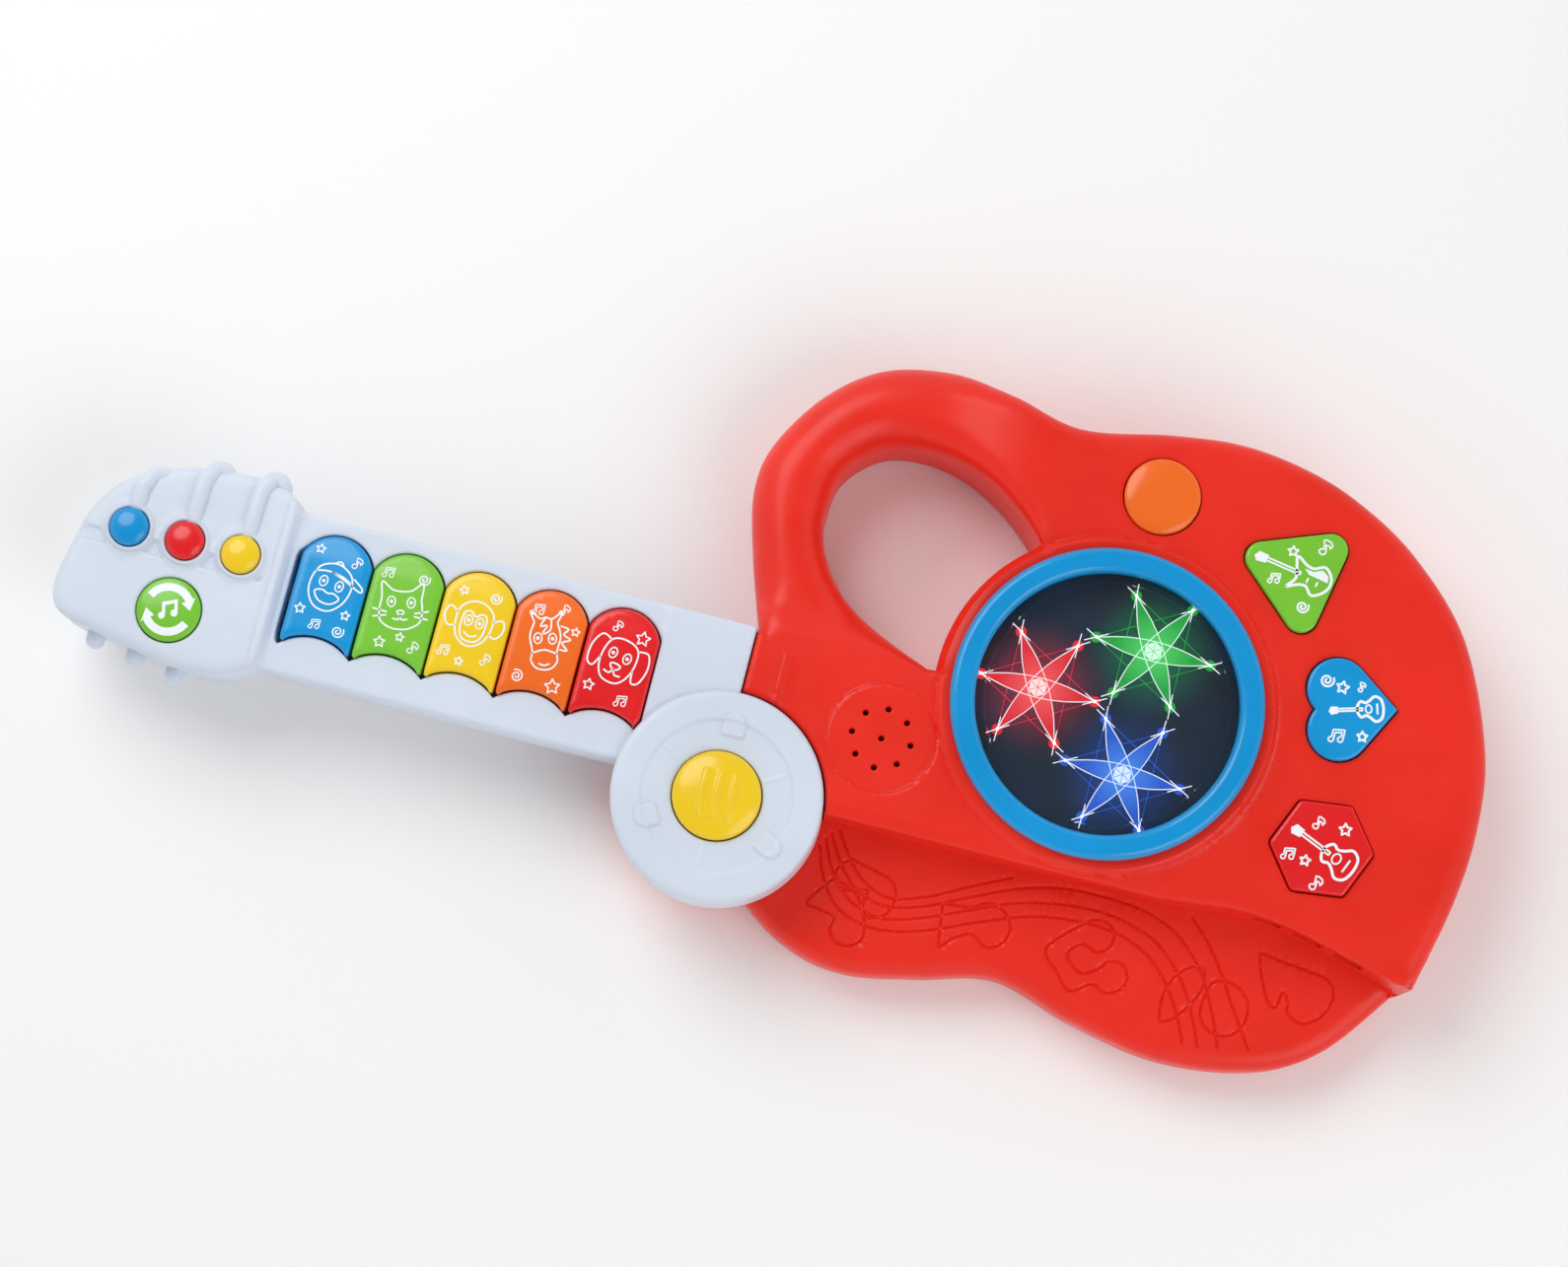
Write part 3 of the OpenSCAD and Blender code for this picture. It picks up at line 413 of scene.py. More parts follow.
def hex_grid(loop, step, grow=0.0):
    """Staggered rows of points over a loop's box, widened by grow."""
    low, high = loop.min(0) - grow, loop.max(0) + grow
    rows = []
    for k, y in enumerate(np.arange(low[1], high[1], step * 0.866)):
        x = np.arange(low[0] + (k % 2) * step / 2, high[0], step)
        rows.append(np.stack([x, np.full(len(x), y)], -1))
    return np.vstack(rows)


def fill_region(loops, points):
    """Triangles of the region inside loops[0] and outside the other loops, through all the points."""
    edges, base = [], 0
    for loop in loops:
        n = len(loop)
        edges.extend((base + i, base + (i + 1) % n) for i in range(n))
        base += n
    every = np.vstack([*loops, points])
    verts, _, faces, origin, *_ = geometry.delaunay_2d_cdt([Vector(p) for p in every], edges, [], 0, 1e-5)
    assert len(verts) == len(every), "an outline crosses itself"
    order = np.array([o[0] for o in origin])
    tris = order[np.array([tuple(f) for f in faces])]
    return every, tris[within(every[tris].mean(1), loops)]


def ring_points(loops, rings):
    """Points that follow every edge, at each distance in rings from it."""
    points = []
    for k, loop in enumerate(loops):
        for t in rings:
            ring = inset(loop, t if k == 0 else -t)
            limits = [t * 0.93 if m == k else t + 0.35 for m in range(len(loops))]
            clear = [distance(ring, other)[0] > limit for other, limit in zip(loops, limits)]
            points.append(ring[np.all(clear, axis=0)])
    return np.vstack(points)


def fine_points(lines, fine, reach):
    """Closely spaced points within reach of the feature lines."""
    points = []
    for line in lines:
        grid = hex_grid(np.asarray(line), fine, reach)
        points.append(grid[distance(grid, line, closed=False)[0] < reach])
    points = np.vstack(points)
    cells = np.round(points / (fine * 0.7)).astype(int)
    return points[np.unique(cells, axis=0, return_index=True)[1]]


def inner_points(loops, edge, step, lines, fine, reach):
    """Grid points inside the region, clear of its edges, with a finer grid around the feature lines."""
    field = hex_grid(loops[0], step)
    grids = [(field, step * 0.45)]
    if lines:
        clear = off_lines(field, lines) > reach + step * 0.3
        grids = [(field[clear], step * 0.45), (fine_points(lines, fine, reach), fine * 0.5)]
    kept = []
    for points, gap in grids:
        points = points[within(points, loops)]
        away = np.min([distance(points, loop)[0] for loop in loops], axis=0)
        kept.append(points[away > edge + gap])
    return np.vstack(kept)


def nearest_edge(points, loops):
    """Distance to the nearest loop, and the loop point there. The first points are the loops' own."""
    found = [distance(points, loop) for loop in loops]
    dist, index = np.array([d for d, _ in found]), np.array([i for _, i in found])
    which = dist.argmin(0)
    d = dist.min(0)
    d[: sum(map(len, loops))] = 0
    starts = np.cumsum([0] + [len(loop) for loop in loops])[which]
    return d, np.vstack(loops)[starts + index[which, np.arange(len(points))]]


def walls(loops, base):
    """Upright faces between the loops' points and their copies, which start at index base."""
    faces, start = [], 0
    for k, loop in enumerate(loops):
        for i in range(len(loop)):
            a, b = start + i, start + (i + 1) % len(loop)
            wall = (a, base + a, base + b, b)
            faces.append(wall if k == 0 else wall[::-1])
        start += len(loop)
    return faces


def relief(outer, holes, top, low, step=2.0, rings=(0.15, 0.5, 1.1, 2.0), spacing=1.4, lines=(), fine=0.55,
           reach=1.3, flip=False):
    """Closed solid with a flat base at z = low and a moulded face.

    The face is z = top(points, edge distance, nearest loop point). Rings of points follow every edge, and a
    finer grid lies around the feature lines. With flip, the moulded face looks down."""
    loops = [even(outer, spacing)] + [even(h, min(spacing, 0.9)) for h in holes]
    inner = inner_points(loops, rings[-1], step, lines, fine, reach)
    every, tris = fill_region(loops, np.vstack([ring_points(loops, rings), inner]))
    base, base_tris = fill_region(loops, np.empty((0, 2)))
    n = len(every)
    z = top(every, *nearest_edge(every, loops))
    verts = np.vstack([np.column_stack([every, z]), np.column_stack([base, np.full(len(base), low)])])
    faces = [tuple(t) for t in tris] + [tuple(n + i for i in t[::-1]) for t in base_tris] + walls(loops, n)
    return verts, [face[::-1] for face in faces] if flip else faces


def lathe(profile, centre, steps=128):
    """Closed solid of revolution about a vertical axis, from an anticlockwise (radius, z) outline.

    A profile that touches the axis is closed by it."""
    p = np.asarray(profile, float)
    verts, faces, rows = [], [], []
    for r, z in p:
        on_axis = r < 1e-6
        rows.append([len(verts)] * steps if on_axis else list(range(len(verts), len(verts) + steps)))
        angles = [0] if on_axis else 2 * math.pi * np.arange(steps) / steps
        verts.extend((centre[0] + r * math.cos(a), centre[1] + r * math.sin(a), z) for a in angles)
    closed = p[0][0] > 1e-6 or p[-1][0] > 1e-6
    for i in range(len(rows) if closed else len(rows) - 1):
        here, above = rows[i], rows[(i + 1) % len(rows)]
        for k in range(steps):
            m = (k + 1) % steps
            face = tuple(dict.fromkeys((here[k], here[m], above[m], above[k])))
            if len(face) > 2:
                faces.append(face)
    return np.array(verts), faces


def tube(path, radius, sides=16, cap=5):
    """Round tube with domed ends along a 3-D path."""
    p = np.asarray(path, float)
    first, last = p[0] - p[1], p[-1] - p[-2]
    first, last = first / np.linalg.norm(first), last / np.linalg.norm(last)
    angles = np.linspace(0, math.pi / 2, cap + 1)[1:]
    rows = [(p[0] + first * radius * math.sin(a), radius * math.cos(a)) for a in angles[::-1]]
    rows += [(q, radius) for q in p]
    rows += [(p[-1] + last * radius * math.sin(a), radius * math.cos(a)) for a in angles]
    ahead = np.gradient(np.array([c for c, _ in rows]), axis=0)
    ahead /= np.linalg.norm(ahead, axis=1)[:, None]
    verts, faces = [], []
    side = np.cross(ahead[0], (0.1, 0.2, 1.0))
    for (c, r), t in zip(rows, ahead):
        side = side - t * (side @ t)
        side /= np.linalg.norm(side)
        up = np.cross(t, side)
        for a in 2 * math.pi * np.arange(sides) / sides:
            verts.append(c + max(r, 0.01) * (math.cos(a) * side + math.sin(a) * up))
    for i in range(len(rows) - 1):
        for k in range(sides):
            a, b = i * sides + k, i * sides + (k + 1) % sides
            faces.append((a, b, b + sides, a + sides))
    faces.append(tuple(range(sides - 1, -1, -1)))
    faces.append(tuple((len(rows) - 1) * sides + k for k in range(sides)))
    return np.array(verts), faces


PRINT_THICK = 0.12


def ribbon(path, width, height, closed=False):
    """Flat printed line along a 2-D path, lying on the surface height(points)."""
    p = even(path, 0.45, closed)
    ahead = np.roll(p, -1, 0) - np.roll(p, 1, 0) if closed else np.gradient(p, axis=0)
    ahead /= np.maximum(np.linalg.norm(ahead, axis=1), 1e-9)[:, None]
    side = np.stack([-ahead[:, 1], ahead[:, 0]], -1) * width / 2
    half = PRINT_THICK / 2
    rows = [(p + side, -half), (p + side, half), (p - side, half), (p - side, -half)]
    verts = np.stack([np.column_stack([q, height(q) + lift]) for q, lift in rows], 1).reshape(-1, 3)
    n = len(p)
    faces = []
    for i in range(n if closed else n - 1):
        j = (i + 1) % n
        for k in range(4):
            faces.append((4 * i + k, 4 * i + (k + 1) % 4, 4 * j + (k + 1) % 4, 4 * j + k))
    if not closed:
        faces += [(3, 2, 1, 0), tuple(4 * (n - 1) + k for k in range(4))]
    return verts, faces


def patch(outline, height, thick=PRINT_THICK):
    """Flat printed area inside an anticlockwise outline, lying on the surface height(points)."""
    loop = even(outline, 0.6)
    grid = hex_grid(loop, 1.2)
    grid = grid[inside(grid, loop)]
    grid = grid[distance(grid, loop)[0] > 0.5] if len(grid) else grid
    every, tris = fill_region([loop], grid)
    z = height(every)
    n = len(every)
    verts = np.vstack([np.column_stack([every, z + thick / 2]), np.column_stack([every, z - thick / 2])])
    return verts, [tuple(t) for t in tris] + [tuple(n + i for i in t[::-1]) for t in tris] + walls([loop], n)


def block(low, high):
    """Box between two corners."""
    (x0, y0, z0), (x1, y1, z1) = low, high
    verts = [(x, y, z) for z in (z0, z1) for x, y in ((x0, y0), (x1, y0), (x1, y1), (x0, y1))]
    faces = [(3, 2, 1, 0), (4, 5, 6, 7), (0, 1, 5, 4), (1, 2, 6, 5), (2, 3, 7, 6), (3, 0, 4, 7)]
    return np.array(verts, float), faces


def cut_away(piece, solid):
    """Takes a closed solid, in millimetres, out of a piece."""
    verts, faces = solid
    mesh = bpy.data.meshes.new("cutter")
    mesh.from_pydata((verts * MM).tolist(), [], faces)
    cutter = bpy.data.objects.new("cutter", mesh)
    bpy.context.scene.collection.objects.link(cutter)
    cut = piece.modifiers.new("cut", "BOOLEAN")
    cut.object, cut.operation, cut.solver = cutter, "DIFFERENCE", "EXACT"
    bpy.context.view_layer.update()
    whole = piece.evaluated_get(bpy.context.evaluated_depsgraph_get())
    piece.data = bpy.data.meshes.new_from_object(whole)
    piece.modifiers.clear()
    bpy.data.objects.remove(cutter)


def fillet(d, r):
    """Drop below the face at distance d from an edge rounded to radius r."""
    k = np.clip(1 - d / r, 0, 1)
    return r * (1 - np.sqrt(1 - k * k))


# ---- materials ------------------------------------------------------------


def linear(rgb):
    """Scene-linear colour from 0-255 display values."""
    return [c / 12.92 if c <= 0.04045 else ((c + 0.055) / 1.055) ** 2.4 for c in np.array(rgb) / 255]


class Nodes:
    """Short-hand for building a material's node tree. A source is the output of a node."""

    def __init__(self, name):
        self.material = bpy.data.materials.new(name)
        self.material.use_nodes = True
        self.tree = self.material.node_tree
        self.shader = self.tree.nodes["Principled BSDF"]

    def add(self, kind, **values):
        node = self.tree.nodes.new(kind)
        for key, value in values.items():
            if hasattr(node, key):
                setattr(node, key, value)
            else:
                node.inputs[key.replace("_", " ")].default_value = value
        return node

    def link(self, source, target):
        self.tree.links.new(source, target)

    def place(self, scale):
        """The piece's own coordinates, scaled."""
        mapping = self.add("ShaderNodeMapping", Scale=scale)
        self.link(self.add("ShaderNodeTexCoord").outputs["Object"], mapping.inputs["Vector"])
        return mapping.outputs["Vector"]

    def noise(self, scale, **values):
        node = self.add("ShaderNodeTexNoise", Scale=1.0, **values)
        self.link(self.place(scale), node.inputs["Vector"])
        return node.outputs["Fac"]

    def ramp(self, source, low, high, start=0.0, end=1.0):
        """Scene-linear colour that runs from low to high as the source goes from start to end."""
        node = self.add("ShaderNodeValToRGB")
        for element, position, colour in zip(node.color_ramp.elements, (start, end), (low, high)):
            element.position, element.color = position, [*colour, 1]
        self.link(source, node.inputs["Fac"])
        return node.outputs["Color"]

    def spread(self, source, low, high, start=0.0, end=1.0, **values):
        """Number that runs from low to high as the source goes from start to end."""
        node = self.add("ShaderNodeMapRange", From_Min=start, From_Max=end, To_Min=low, To_Max=high, **values)
        self.link(source, node.inputs["Value"])
        return node.outputs["Result"]

    def vector(self, operation, source, by=(0, 0, 0)):
        node = self.add("ShaderNodeVectorMath", operation=operation)
        node.inputs[1].default_value = by
        self.link(source, node.inputs[0])
        return node.outputs["Value" if operation == "LENGTH" else "Vector"]

    def bump(self, source, strength, depth):
        """Fine relief, with its depth in millimetres."""
        node = self.add("ShaderNodeBump", Strength=strength, Distance=depth * MM)
        self.link(source, node.inputs["Height"])
        self.link(node.outputs["Normal"], self.shader.inputs["Normal"])

    def set(self, **values):
        """Gives the shader's inputs constants, or links them to sources."""
        for key, value in values.items():
            socket = self.shader.inputs[key.replace("_", " ")]
            if isinstance(value, bpy.types.NodeSocket):
                self.link(value, socket)
            else:
                socket.default_value = value


def plastic(name, rgb, rough=0.3, coat=0.25, grain=0.012, shift=0.05, subsurface=0.0, mirror=0.5):
    """Moulded plastic: faint flow marks in the colour, a fine orange-peel skin and rubbed, uneven gloss."""
    n = Nodes(name)
    base = linear(rgb)
    dark, light = [c * (1 - shift) for c in base], [min(1, c * (1 + shift) + 0.004) for c in base]
    flow = n.noise((18, 28, 28), Detail=3.0, Roughness=0.55)
    wear = n.noise((70, 70, 70), Detail=6.0, Roughness=0.7)
    n.set(Base_Color=n.ramp(flow, dark, light, 0.35, 0.65),
          Roughness=n.spread(wear, rough * 0.85, rough * 1.3, 0.3, 0.75),
          IOR=1.5, Specular_IOR_Level=mirror, Coat_Weight=coat, Coat_Roughness=0.12,
          Subsurface_Weight=subsurface, Subsurface_Scale=0.004)
    n.bump(n.noise((1400, 1400, 1400), Detail=2.0, Roughness=0.5), 0.35, grain)
    return n.material


def gloss(name, rgb):
    """Shiny plastic of the keys, the buttons and the window's ring."""
    return plastic(f"{name}_gloss", rgb, rough=0.2, mirror=0.35)


def metal(name, rgb):
    """Plated metal with fine drawn lines."""
    n = Nodes(name)
    base = linear(rgb)
    lines = n.noise((200, 3000, 200), Detail=4.0, Roughness=0.6)
    n.set(Base_Color=n.ramp(lines, [c * 0.75 for c in base], [min(1, c * 1.1) for c in base]), Metallic=1.0,
          Roughness=0.3)
    n.bump(lines, 0.3, 0.02)
    return n.material


def board(name):
    """Green circuit board with copper tracks under the mask."""
    n = Nodes(name)
    tracks = n.add("ShaderNodeTexBrick", Scale=1.0, Mortar_Size=0.02, Color1=[*linear((24, 92, 52)), 1],
                   Color2=[*linear((30, 104, 58)), 1], Mortar=[*linear((70, 140, 80)), 1])
    n.link(n.place((160, 160, 160)), tracks.inputs["Vector"])
    n.set(Base_Color=tracks.outputs["Color"], Roughness=0.35, Coat_Weight=0.3)
    n.bump(tracks.outputs["Fac"], 0.4, 0.03)
    return n.material


def smoked_window(name):
    """Clear plastic with a little haze."""
    n = Nodes(name)
    n.set(IOR=1.2, Transmission_Weight=1.0, Base_Color=[*linear((238, 243, 250)), 1],
          Roughness=n.spread(n.noise((40, 40, 40), Detail=3.0), 0.02, 0.07))
    return n.material


def star_sheet(name, stars):
    """Dark sheet, lit from behind in mottled navy, with a soft coloured glow around each light."""
    n = Nodes(name)
    total = n.ramp(n.noise((45, 45, 45), Detail=4.0), linear((2, 12, 22)), linear((5, 30, 50)), 0.35, 0.65)
    for _, (x, y), rgb, *_ in stars:
        offset = n.vector("SUBTRACT", n.add("ShaderNodeTexCoord").outputs["Object"], (x * MM, y * MM, 0))
        away = n.vector("LENGTH", n.vector("MULTIPLY", offset, (1, 1, 0)))
        fade = n.spread(away, 0.0, 0.3, GLOW_REACH * MM, 0.0, interpolation_type="SMOOTHERSTEP")
        # Painted glow: each star's colour is added to the sheet's emission and fades out over GLOW_REACH
        # millimetres.
        glow_mix = n.add("ShaderNodeMix", data_type="RGBA", blend_type="ADD")
        factor, under, added = glow_mix.inputs[0], glow_mix.inputs[6], glow_mix.inputs[7]
        n.link(fade, factor)
        n.link(total, under)
        added.default_value = [*linear(rgb), 1]
        total = glow_mix.outputs[2]
    n.set(Base_Color=(0.004, 0.008, 0.014, 1), Emission_Color=total, Emission_Strength=1.0, Roughness=0.6)
    return n.material


def light_print(name, core, edge, reach, strength):
    """Glowing print whose colour runs from core at the piece's origin to edge at reach millimetres."""
    n = Nodes(name)
    away = n.vector("LENGTH", n.add("ShaderNodeTexCoord").outputs["Object"])
    colour = n.ramp(n.spread(away, 0.0, 1.0, 0.0, reach * MM), linear(core), linear(edge))
    n.set(Base_Color=(0.01, 0.01, 0.01, 1), Emission_Color=colour, Emission_Strength=strength, Roughness=0.5)
    return n.material


STARS = [
    ("red", WINDOW + (-21, 0.5), (226, 26, 40), (250, 92, 92), (255, 214, 208)),
    ("green", WINDOW + (9.9, 19.6), (14, 160, 52), (86, 214, 104), (206, 255, 214)),
    ("blue", WINDOW + (9.6, -18.8), (26, 84, 196), (74, 140, 232), (206, 226, 255)),
]
INK = plastic("white_ink", (240, 246, 250), rough=0.5, coat=0.0, grain=0.006, shift=0.02)
MATERIALS = {
    "red_shell": plastic("red_shell", (232, 38, 20), rough=0.36, coat=0.08, subsurface=0.05, mirror=0.3),
    "white_shell": plastic("white_shell", (210, 219, 233), rough=0.38, coat=0.08, shift=0.03, subsurface=0.05,
                           mirror=0.35),
    "blue_plastic": gloss("blue", (2, 148, 214)),
    "green_plastic": gloss("green", (120, 196, 54)),
    "yellow_plastic": gloss("yellow", (240, 202, 26)),
    "orange_plastic": gloss("orange", (242, 108, 28)),
    "cherry_plastic": gloss("cherry", (226, 26, 30)),
    "smoked_window": smoked_window("smoked_window"),
    "star_print": star_sheet("star_sheet", STARS),
    "steel": metal("zinc_steel", (176, 178, 184)),
    "brass_contact": metal("brass_contact", (206, 170, 96)),
    "magnet_ferrite": plastic("ferrite", (52, 52, 56), rough=0.7, coat=0.0),
    "cone_paper": plastic("cone_paper", (38, 38, 40), rough=0.9, coat=0.0, grain=0.08),
    "post_plastic": plastic("acetal", (228, 226, 214), rough=0.45, coat=0.0),
    "circuit_board": board("circuit_board"),
    "chip_resin": plastic("chip_resin", (34, 34, 36), rough=0.5, coat=0.1),
    "silicone": plastic("silicone", (214, 212, 204), rough=0.6, coat=0.0, subsurface=0.2),
    "led_red": light_print("led_red", (255, 120, 110), (255, 40, 30), 40, 1.0),
    "led_green": light_print("led_green", (140, 255, 140), (30, 220, 60), 40, 1.0),
    "led_blue": light_print("led_blue", (130, 170, 255), (40, 90, 240), 40, 1.0),
    "cell_jacket": plastic("cell_jacket", (60, 62, 70), rough=0.35, coat=0.2),
    "black_plastic": plastic("black_plastic", (30, 30, 32), rough=0.5, coat=0.0),
    "red_wire": plastic("red_wire", (190, 36, 30), rough=0.45, coat=0.0),
    "black_wire": plastic("black_wire", (30, 30, 32), rough=0.45, coat=0.0),
    "grey_cable": plastic("grey_cable", (120, 120, 124), rough=0.5, coat=0.0),
    "ribbon": plastic("ribbon_cable", (196, 170, 120), rough=0.4, coat=0.1),
}


# ---- body shells ----------------------------------------------------------

DECK_LOOPS = lower_outline()
PLATE = plate_outline()
OPENING = handle_opening()

NOTES = {
    "one": [(-0.55, -0.75), (-0.2, -1.0), (0.2, -0.85), (0.3, -0.5), (0.3, 0.35), (0.75, 0.2), (0.85, -0.2),
            (1.15, 0.25), (1.0, 0.7), (0.45, 1.0), (0.05, 1.0), (0.05, -0.25), (-0.3, -0.2), (-0.6, -0.4)],
    "two": [(-0.62, -0.98), (-0.36, -0.88), (-0.26, -0.62), (-0.26, 0.38), (0.66, 0.6), (0.66, -0.04),
            (0.4, -0.08), (0.26, -0.34), (0.36, -0.66), (0.62, -0.78), (0.88, -0.68), (0.98, -0.42),
            (0.98, 1.0), (-0.58, 0.72), (-0.58, -0.26), (-0.86, -0.36), (-0.98, -0.62), (-0.88, -0.88)],
}


def note_outline(kind, centre, size, angle=0.0):
    """Music note about its centre: 'one' has one head and a flag, 'two' has two heads and a beam."""
    return turned(np.array(NOTES[kind]) * size, angle, centre)


STAFF = [
    [(27.2, -56), (31, -65.5), (38, -73.5), (50, -76.4), (64, -73.4), (80, -66.6), (95, -61), (110, -59),
     (122, -60), (132, -64.5), (139, -71.5), (144, -79.5), (147.4, -87)],
    [(28.6, -53.5), (33, -62.5), (40, -69.8), (50, -72.9), (62, -70), (76, -64), (90, -58), (105, -55),
     (118, -54.9), (130, -58), (139, -64.4), (146.5, -74.5), (152, -87)],
    [(30, -51.6), (35.5, -60.5), (42, -66.4), (51, -69), (62, -66.4), (75, -60.2), (88, -54.2),
     (101, -50.6), (114, -49.9), (128, -51.2), (139, -56), (148, -65), (154, -76), (158, -86)],
    [(32, -50), (38, -58.6), (44, -63.8), (52, -66.3), (63, -63), (75, -56.6), (86, -51.2)],
    [(141.5, -49.4), (147, -54.6), (153.5, -63), (160, -73.4), (167, -84)],
]
DECK_NOTES = [
    [(37.6, -57.4), (45, -59.2), (51, -61), (53.6, -66), (51.4, -71.8), (46, -73.6), (44.4, -69),
     (44.6, -65.6), (38, -67), (34, -62.4), (37.6, -57.4)],
    [(34, -64.6), (27.8, -73.2), (31, -74.6), (36.8, -76), (36.6, -80), (39, -83.2), (43.4, -83.4),
     (46.6, -80.4), (46.2, -75.4), (43.8, -70.4), (40.6, -66.6), (34, -64.6)],
    [(67.8, -63.8), (76, -63), (81, -60.4), (86.4, -61.8), (89.4, -66.6), (87.4, -71.8), (83, -73.6),
     (78.6, -70.8), (73, -73.6), (69.8, -76.8), (68.6, -70), (67.8, -63.8)],
    [(112.4, -57.6), (101.2, -69), (106, -75.6), (111, -80.2), (117, -76.4), (121, -78.2), (125.4, -76.2),
     (127, -72), (124.4, -68.4), (120, -68.8), (117.6, -71.8), (112.6, -74), (107.6, -69.6), (111.6, -65.4),
     (116, -66.8), (119.8, -64), (119.6, -59), (116, -57), (112.4, -57.6)],
    [(139, -82.4), (138.4, -75), (140.4, -68.6), (144.6, -64.2), (148.6, -63.8), (149.6, -69), (147, -75),
     (143, -80.6), (139, -82.4)],
    [(151, -70), (152.6, -66.6), (157, -65.8), (161.4, -67.4), (164.2, -72), (163.6, -78), (159.4, -81.8),
     (154, -81.4), (150.4, -77), (151, -70)],
    [(163.6, -54.6), (166, -61.8), (169.4, -68.4), (172.2, -69.6), (173.2, -64.6), (175.4, -67.4),
     (176, -70.6), (181, -72.4), (186, -69), (188.2, -63), (186, -58), (180, -56.6), (172, -55.8),
     (163.6, -54.6)],
]


DECK_LINES = [spline(line, 6) for line in STAFF] + [spline(note, 4) for note in DECK_NOTES]
GROOVE = 0.8
GROOVE_W = 0.6


def engraved(off, depth):
    """Depth of a fine engraved line at the distance off from it."""
    return depth * (1 - smoothstep(np.abs(off), 0.1, 0.6))


def handle_share(near):
    """How far a point of the outline belongs to the rounder handle, from 0 to 1."""
    return (1 - smoothstep(near[:, 0], 20, 62)) * smoothstep(near[:, 1], 1.0, 16.0)


def body_radius(near):
    """Radius of the rounded upper edge at a point of the outline."""
    x, y = near[:, 0], near[:, 1]
    radius = 5.5 + 5.5 * handle_share(near)
    at_rim = 1 - smoothstep(np.abs(np.linalg.norm(near - WINDOW, axis=1) - RIM_R), 0.4, 9.0)
    radius += (3.0 - radius) * at_rim
    outline = np.minimum(distance(near, PLATE)[0], distance(near, OPENING)[0])
    left_end = (x < PLATE_LEFT + 0.3) & (y < PLATE_TOP_Y + 0.1)
    disc = np.abs(np.linalg.norm(near - HINGE, axis=1) - DISC_R - 0.6) < 0.3
    wall = (y < -40) & (x < 205) & (y > -58.5) & ~((x > 190) & (y > -46))
    return np.where(outline > 0.3, 0.4, np.where(left_end | disc | wall, 1.3, radius))


RIM_FACE_R = 50.6
GRILLE_R = 16.5
RIB = np.array((4.5, -12.5))
LIP_Y = -45.8
LIP_ENDS = (20, 132)


def plate_face(points, d, near):
    """Plate with the lower handle, the window's rim, a ring round the grille, a lip and a short rib."""
    x, y = points[:, 0], points[:, 1]
    handle = (1 - smoothstep(x, 30, 60)) * smoothstep(y, 2.0, 12.0)
    rim_d = np.linalg.norm(points - WINDOW, axis=1)
    z = PLATE_Z - (PLATE_Z - HANDLE_Z) * handle - fillet(d, body_radius(near))
    rim = (1 - smoothstep(rim_d, RIM_FACE_R - 1, RIM_FACE_R + 0.6)) * smoothstep(d, 0.0, 1.2)
    z += 1.2 * rim * (1 - handle)
    z -= engraved(rim_d - RIM_FACE_R - 0.8, 0.3)
    z -= engraved(np.linalg.norm(points - SPEAKER, axis=1) - GRILLE_R, 0.45)
    along = (x > LIP_ENDS[0]) * (1 - smoothstep(x, LIP_ENDS[1] - 1, LIP_ENDS[1] + 1))
    z -= 0.6 * (1 - smoothstep(y, LIP_Y - 0.5, LIP_Y + 0.5)) * along
    rib = np.maximum(np.abs(x - RIB[0]) - 1.4, np.abs(y - RIB[1]) - 7.8)
    return z + 0.9 * (1 - smoothstep(rib, -0.5, 0.6))


def plate_holes():
    grille = [SPEAKER + 9 * unit(45 * k) for k in range(8)] + [SPEAKER]
    shaped = [inset(shape, -GAP) for shape in (TRIANGLE, HEART, HEXAGON)]
    holes = [OPENING, circle(WINDOW, BEZEL_R - 2.6), circle(ORANGE, ORANGE_R + GAP, 72)] + shaped
    return holes + [circle(p, 0.9, 14) for p in grille]


def plate_feature_lines():
    rings = [arc(SPEAKER, GRILLE_R, 0, 360, 90), arc(WINDOW, RIM_FACE_R, 0, 360, 180)]
    return [[RIB + (0, 8), RIB - (0, 8)], *rings, [(26, LIP_Y), (LIP_ENDS[1], LIP_Y)]]


def deck_face(points, d, near):
    z = DECK_Z - fillet(d, np.where(near[:, 1] < -58, 5.0, 0.6))
    return z - GROOVE * (1 - smoothstep(off_lines(points, DECK_LINES), 0.0, GROOVE_W))


BODY_RINGS = (0.2, 0.6, 1.2, 2.2, 3.6)


def front_shell():
    """Plate and handle, with slots in the deck's wall where the folded neck's studs land."""
    plate = relief(PLATE, plate_holes(), plate_face, SPLIT_Z + SEAM, step=2.2, rings=BODY_RINGS,
                   lines=plate_feature_lines(), fine=0.6, reach=1.8)
    piece = new_piece("plate_shell", plate, "body", "red_shell", ["body_front_shell", "handle_front_shell"])
    half, low, high = SLOT_W / 2, STUD_Z - 4, STUD_Z + 4
    landings = [2 * HINGE - stud for stud in STUDS]
    slots = [block((x - half, y - 2.5, low), (x + half, y + 8, high)) for x, y in landings]
    cut_away(piece, joined(*slots))


def deck():
    closing = [(203, -50), (180, -42), (30, -42), (PLATE_LEFT + 0.2, -24)]
    outline = np.vstack([DECK_LOOPS, closing])
    solid = relief(outline, [circle(HINGE, POST_R, 60)], deck_face, SPLIT_Z + SEAM, step=2.2,
                   rings=BODY_RINGS, lines=DECK_LINES, fine=0.42, reach=0.95)
    new_piece("deck", solid, "body", "red_shell", ["deck_shell"])


def rear_face(_points, d, near):
    at_side = np.minimum(distance(near, REAR_OUTLINE)[0], distance(near, OPENING)[0]) < 0.3
    return fillet(d, np.where(at_side, 5.0 + 4.6 * handle_share(near), 0.5))


REAR_OUTLINE = np.vstack([DECK_LOOPS, spline(UPPER_EDGE)])
BODY_SCREWS = [(30, 79.5), (128, 81), (203, 0), (199, -40), (162, -78), (34, -78), (8, -6), (-7, 44)]


